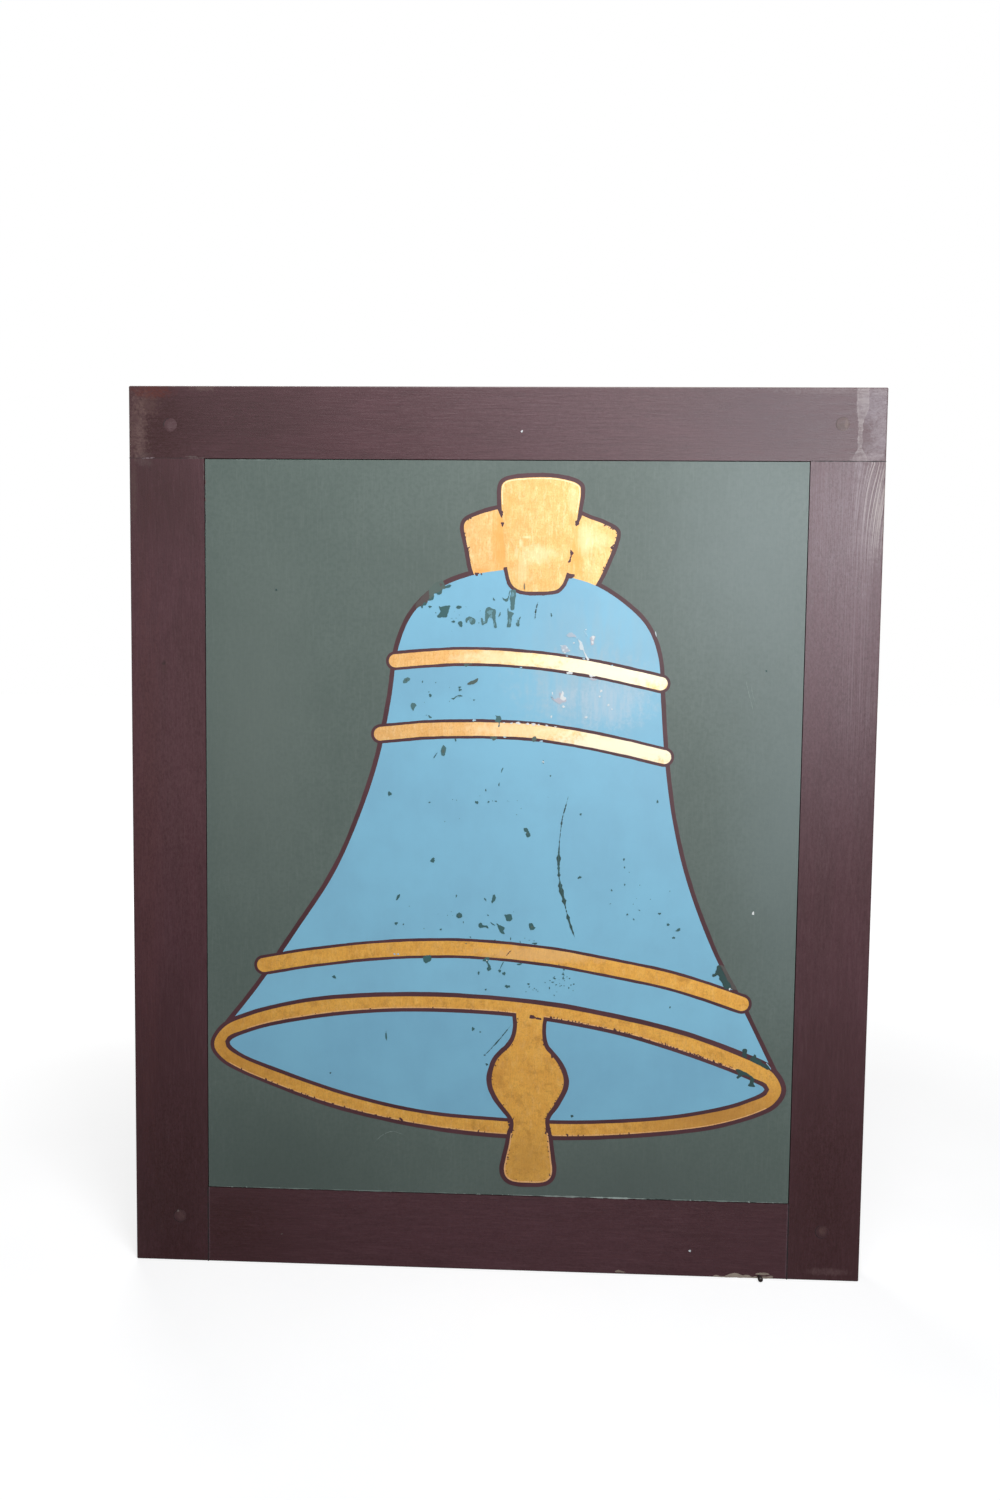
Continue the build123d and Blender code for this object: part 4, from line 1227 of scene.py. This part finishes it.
# Splinters and bare wood along the bottom edge
chips("worn_foot", [
    [(306, 1.2), (311, 3.4), (316, 2.4), (322, 1.8), (327, 4.2), (334, 6.4), (343, 6.2), (348, 4.2),
     (353, 5.4), (358, 4.2), (362, 2.4), (366, 3.6), (371, 2.4), (377, 3.4), (383, 3.4), (387, 4.8),
     (390, 3), (385, 0.8), (372, 0.4), (356, 0.7), (340, 0.9), (322, 0.6)],
    [(366, 6.6), (372, 8.8), (381, 8.4), (386, 6.6), (379, 5.6), (371, 5.2)],
    [(170, 3.4), (174, 6), (180, 5), (184, 3.2), (177, 2.6)],
], 0.6, splintered, 420, 0.5)

# The long scratch down the right of the bell, and finer ones
for row in (
    ("long_scratch_top", [(95, 672), (91, 656), (87, 640), (84, 612)], 1.3, 10.4, old_green, 61),
    ("long_scratch",
     [(84, 616), (83, 590), (83.5, 565), (86, 546), (91, 528), (96, 508), (101, 492), (107, 476)],
     3.7, 10, old_green, 62),
    ("film_in_scratch", [(83, 600), (83, 585), (84, 562), (87, 545), (90, 534)], 1.5, 10.6, thin_green, 74),
    ("thin_scratch_inside", [(21, 352), (14, 343), (7, 334), (-2, 323), (-10, 314), (-15.5, 308.5)],
     1.1, 10, old_green, 63),
    ("thick_of_scratch_inside", [(9, 336), (4, 330), (-1, 324.5), (-6, 318.6)], 1.0, 10.2, old_green, 72),
    ("thin_line_under_crown", [(46, 911), (46.6, 920), (48, 928), (50, 935)], 1.5, 10, old_green, 64),
    ("scratch_on_lower_band", [(13, 449), (16, 453), (20, 457)], 1.1, 10, line_paint, 65),
    ("rub_on_green_1", [(331, 833), (334, 820), (338, 806), (343, 787)], 0.8, 1, faint_rub, 66),
    ("rub_on_green_2", [(338, 828), (341, 812), (347, 796)], 0.6, 1, faint_rub, 67),
    ("rub_on_green_3", [(-170, 178), (-158, 190), (-144, 196), (-128, 192)], 0.6, 1, faint_rub, 68),
):
    scratch(*row)

# The end of a nail that stands out of the foot of the front, near its right corner. It has a wider
# bead of old paint at its end, and starts inside the rail.
nail_stub("nail_stub", 371.2, 3.5, [
    (-4, 0.0), (-3.9, 2.4), (0, 2.4), (4, 2.4), (5.5, 2.8), (6.2, 3.4), (9.4, 3.4), (10.3, 2.6), (10.5, 0.0),
], old_steel)


# Room, lights and camera

def stage():
    """A pale floor and a white surround that the lamps don't have to light."""
    mesh = bpy.data.meshes.new("floor")
    half, depth = 30.0, -0.0005
    corners = [(-half, -half, depth), (half, -half, depth), (half, half, depth), (-half, half, depth)]
    mesh.from_pydata(corners, [], [(0, 1, 2, 3)])
    floor = bpy.data.objects.new("floor", mesh)
    bpy.context.scene.collection.objects.link(floor)
    material, graph, shader, place = new_material("floor")
    mottle = graph.ramp(graph.noise(place, 3.0, 3.0), 0.3, 0.7)
    greys = {"Factor": mottle, "A": (0.32, 0.32, 0.32, 1), "B": (0.34, 0.34, 0.34, 1)}
    grey = graph.node("ShaderNodeMix", greys, data_type="RGBA")
    graph.feed(shader.inputs["Base Color"], grey.outputs["Result"])
    shader.inputs["Roughness"].default_value = 0.9
    shader.inputs["Specular IOR Level"].default_value = 0.1
    shader.inputs["Emission Color"].default_value = (1, 1, 1, 1)
    seen = graph.node("ShaderNodeLightPath").outputs["Is Camera Ray"]
    far = graph.ramp(graph.length(place), 0.8, 2.6)
    near_glow, far_glow = 0.72, 0.27
    glow = graph.plus(near_glow, graph.times(far, far_glow))
    graph.feed(shader.inputs["Emission Strength"], graph.times(seen, glow))
    mesh.materials.append(material)

    world = bpy.data.worlds.new("surround")
    bpy.context.scene.world = world
    world.use_nodes = True
    graph = Graph(world.node_tree)
    background = world.node_tree.nodes["Background"]
    path = graph.node("ShaderNodeLightPath").outputs
    clear = graph.math("MAXIMUM", path["Is Glossy Ray"], path["Is Transmission Ray"])
    seen = graph.math("MAXIMUM", path["Is Camera Ray"], clear)
    fill = 0.06
    graph.feed(background.inputs["Strength"], graph.plus(fill, graph.times(seen, 1 - fill)))
    background.inputs["Color"].default_value = (1, 1, 1, 1)


def lamp(name, place, target, size, power, colour):
    """A square softbox turned to face a target."""
    data = bpy.data.lights.new(name, "AREA")
    data.shape = "SQUARE"
    data.size = size
    data.energy = power
    data.color = colour
    made = bpy.data.objects.new(name, data)
    bpy.context.scene.collection.objects.link(made)
    away = np.array(target) - np.array(place)
    aim = away / np.linalg.norm(away)
    across = np.cross(aim, (0, 0, 1))
    across /= np.linalg.norm(across)
    turned = np.eye(4)
    turned[:3] = np.stack([across, np.cross(across, aim), -aim, place], 1)
    made.matrix_world = Matrix(turned.tolist())


def camera():
    """A plain lens standing a little to the right of the sign and looking slightly down at it."""
    data = bpy.data.cameras.new("camera")
    made = bpy.data.objects.new("camera", data)
    bpy.context.scene.collection.objects.link(made)
    frame_height, focal_pixels = 1500, 1163.3
    data.sensor_width = 36.0
    data.lens = focal_pixels / frame_height * data.sensor_width
    swing, pitch, roll = 0.0397, -0.0680, -0.0119
    turn = Matrix.Rotation(swing, 4, "Z") @ Matrix.Rotation(pitch, 4, "X")
    turn = turn @ Matrix.Rotation(roll, 4, "Y") @ Matrix.Rotation(math.pi / 2, 4, "X")
    made.matrix_world = Matrix.Translation((0.0636, -1.6034, 0.8411)) @ turn
    bpy.context.scene.camera = made


stage()
for row in (
    ("overhead", (0.2, -1.15, 2.3), (0.05, 0, 0.85), 0.9, 31.0, (0.96, 0.975, 1.0)),
    ("right", (1.15, -2.3, 1.5), (0.2, 0, 0.85), 0.8, 36.0, (0.94, 0.955, 1.0)),
    ("beside_camera", (0.42, -1.9, 0.85), (0.2, 0, 0.85), 0.3, 5.0, (1.0, 1.0, 1.0)),
    ("behind", (-1.2, 2.4, 1.9), (0, 0, 0.6), 1.6, 46.0, (1.0, 1.0, 1.0)),
):
    lamp(*row)
camera()
bpy.context.scene.view_settings.view_transform = "Standard"
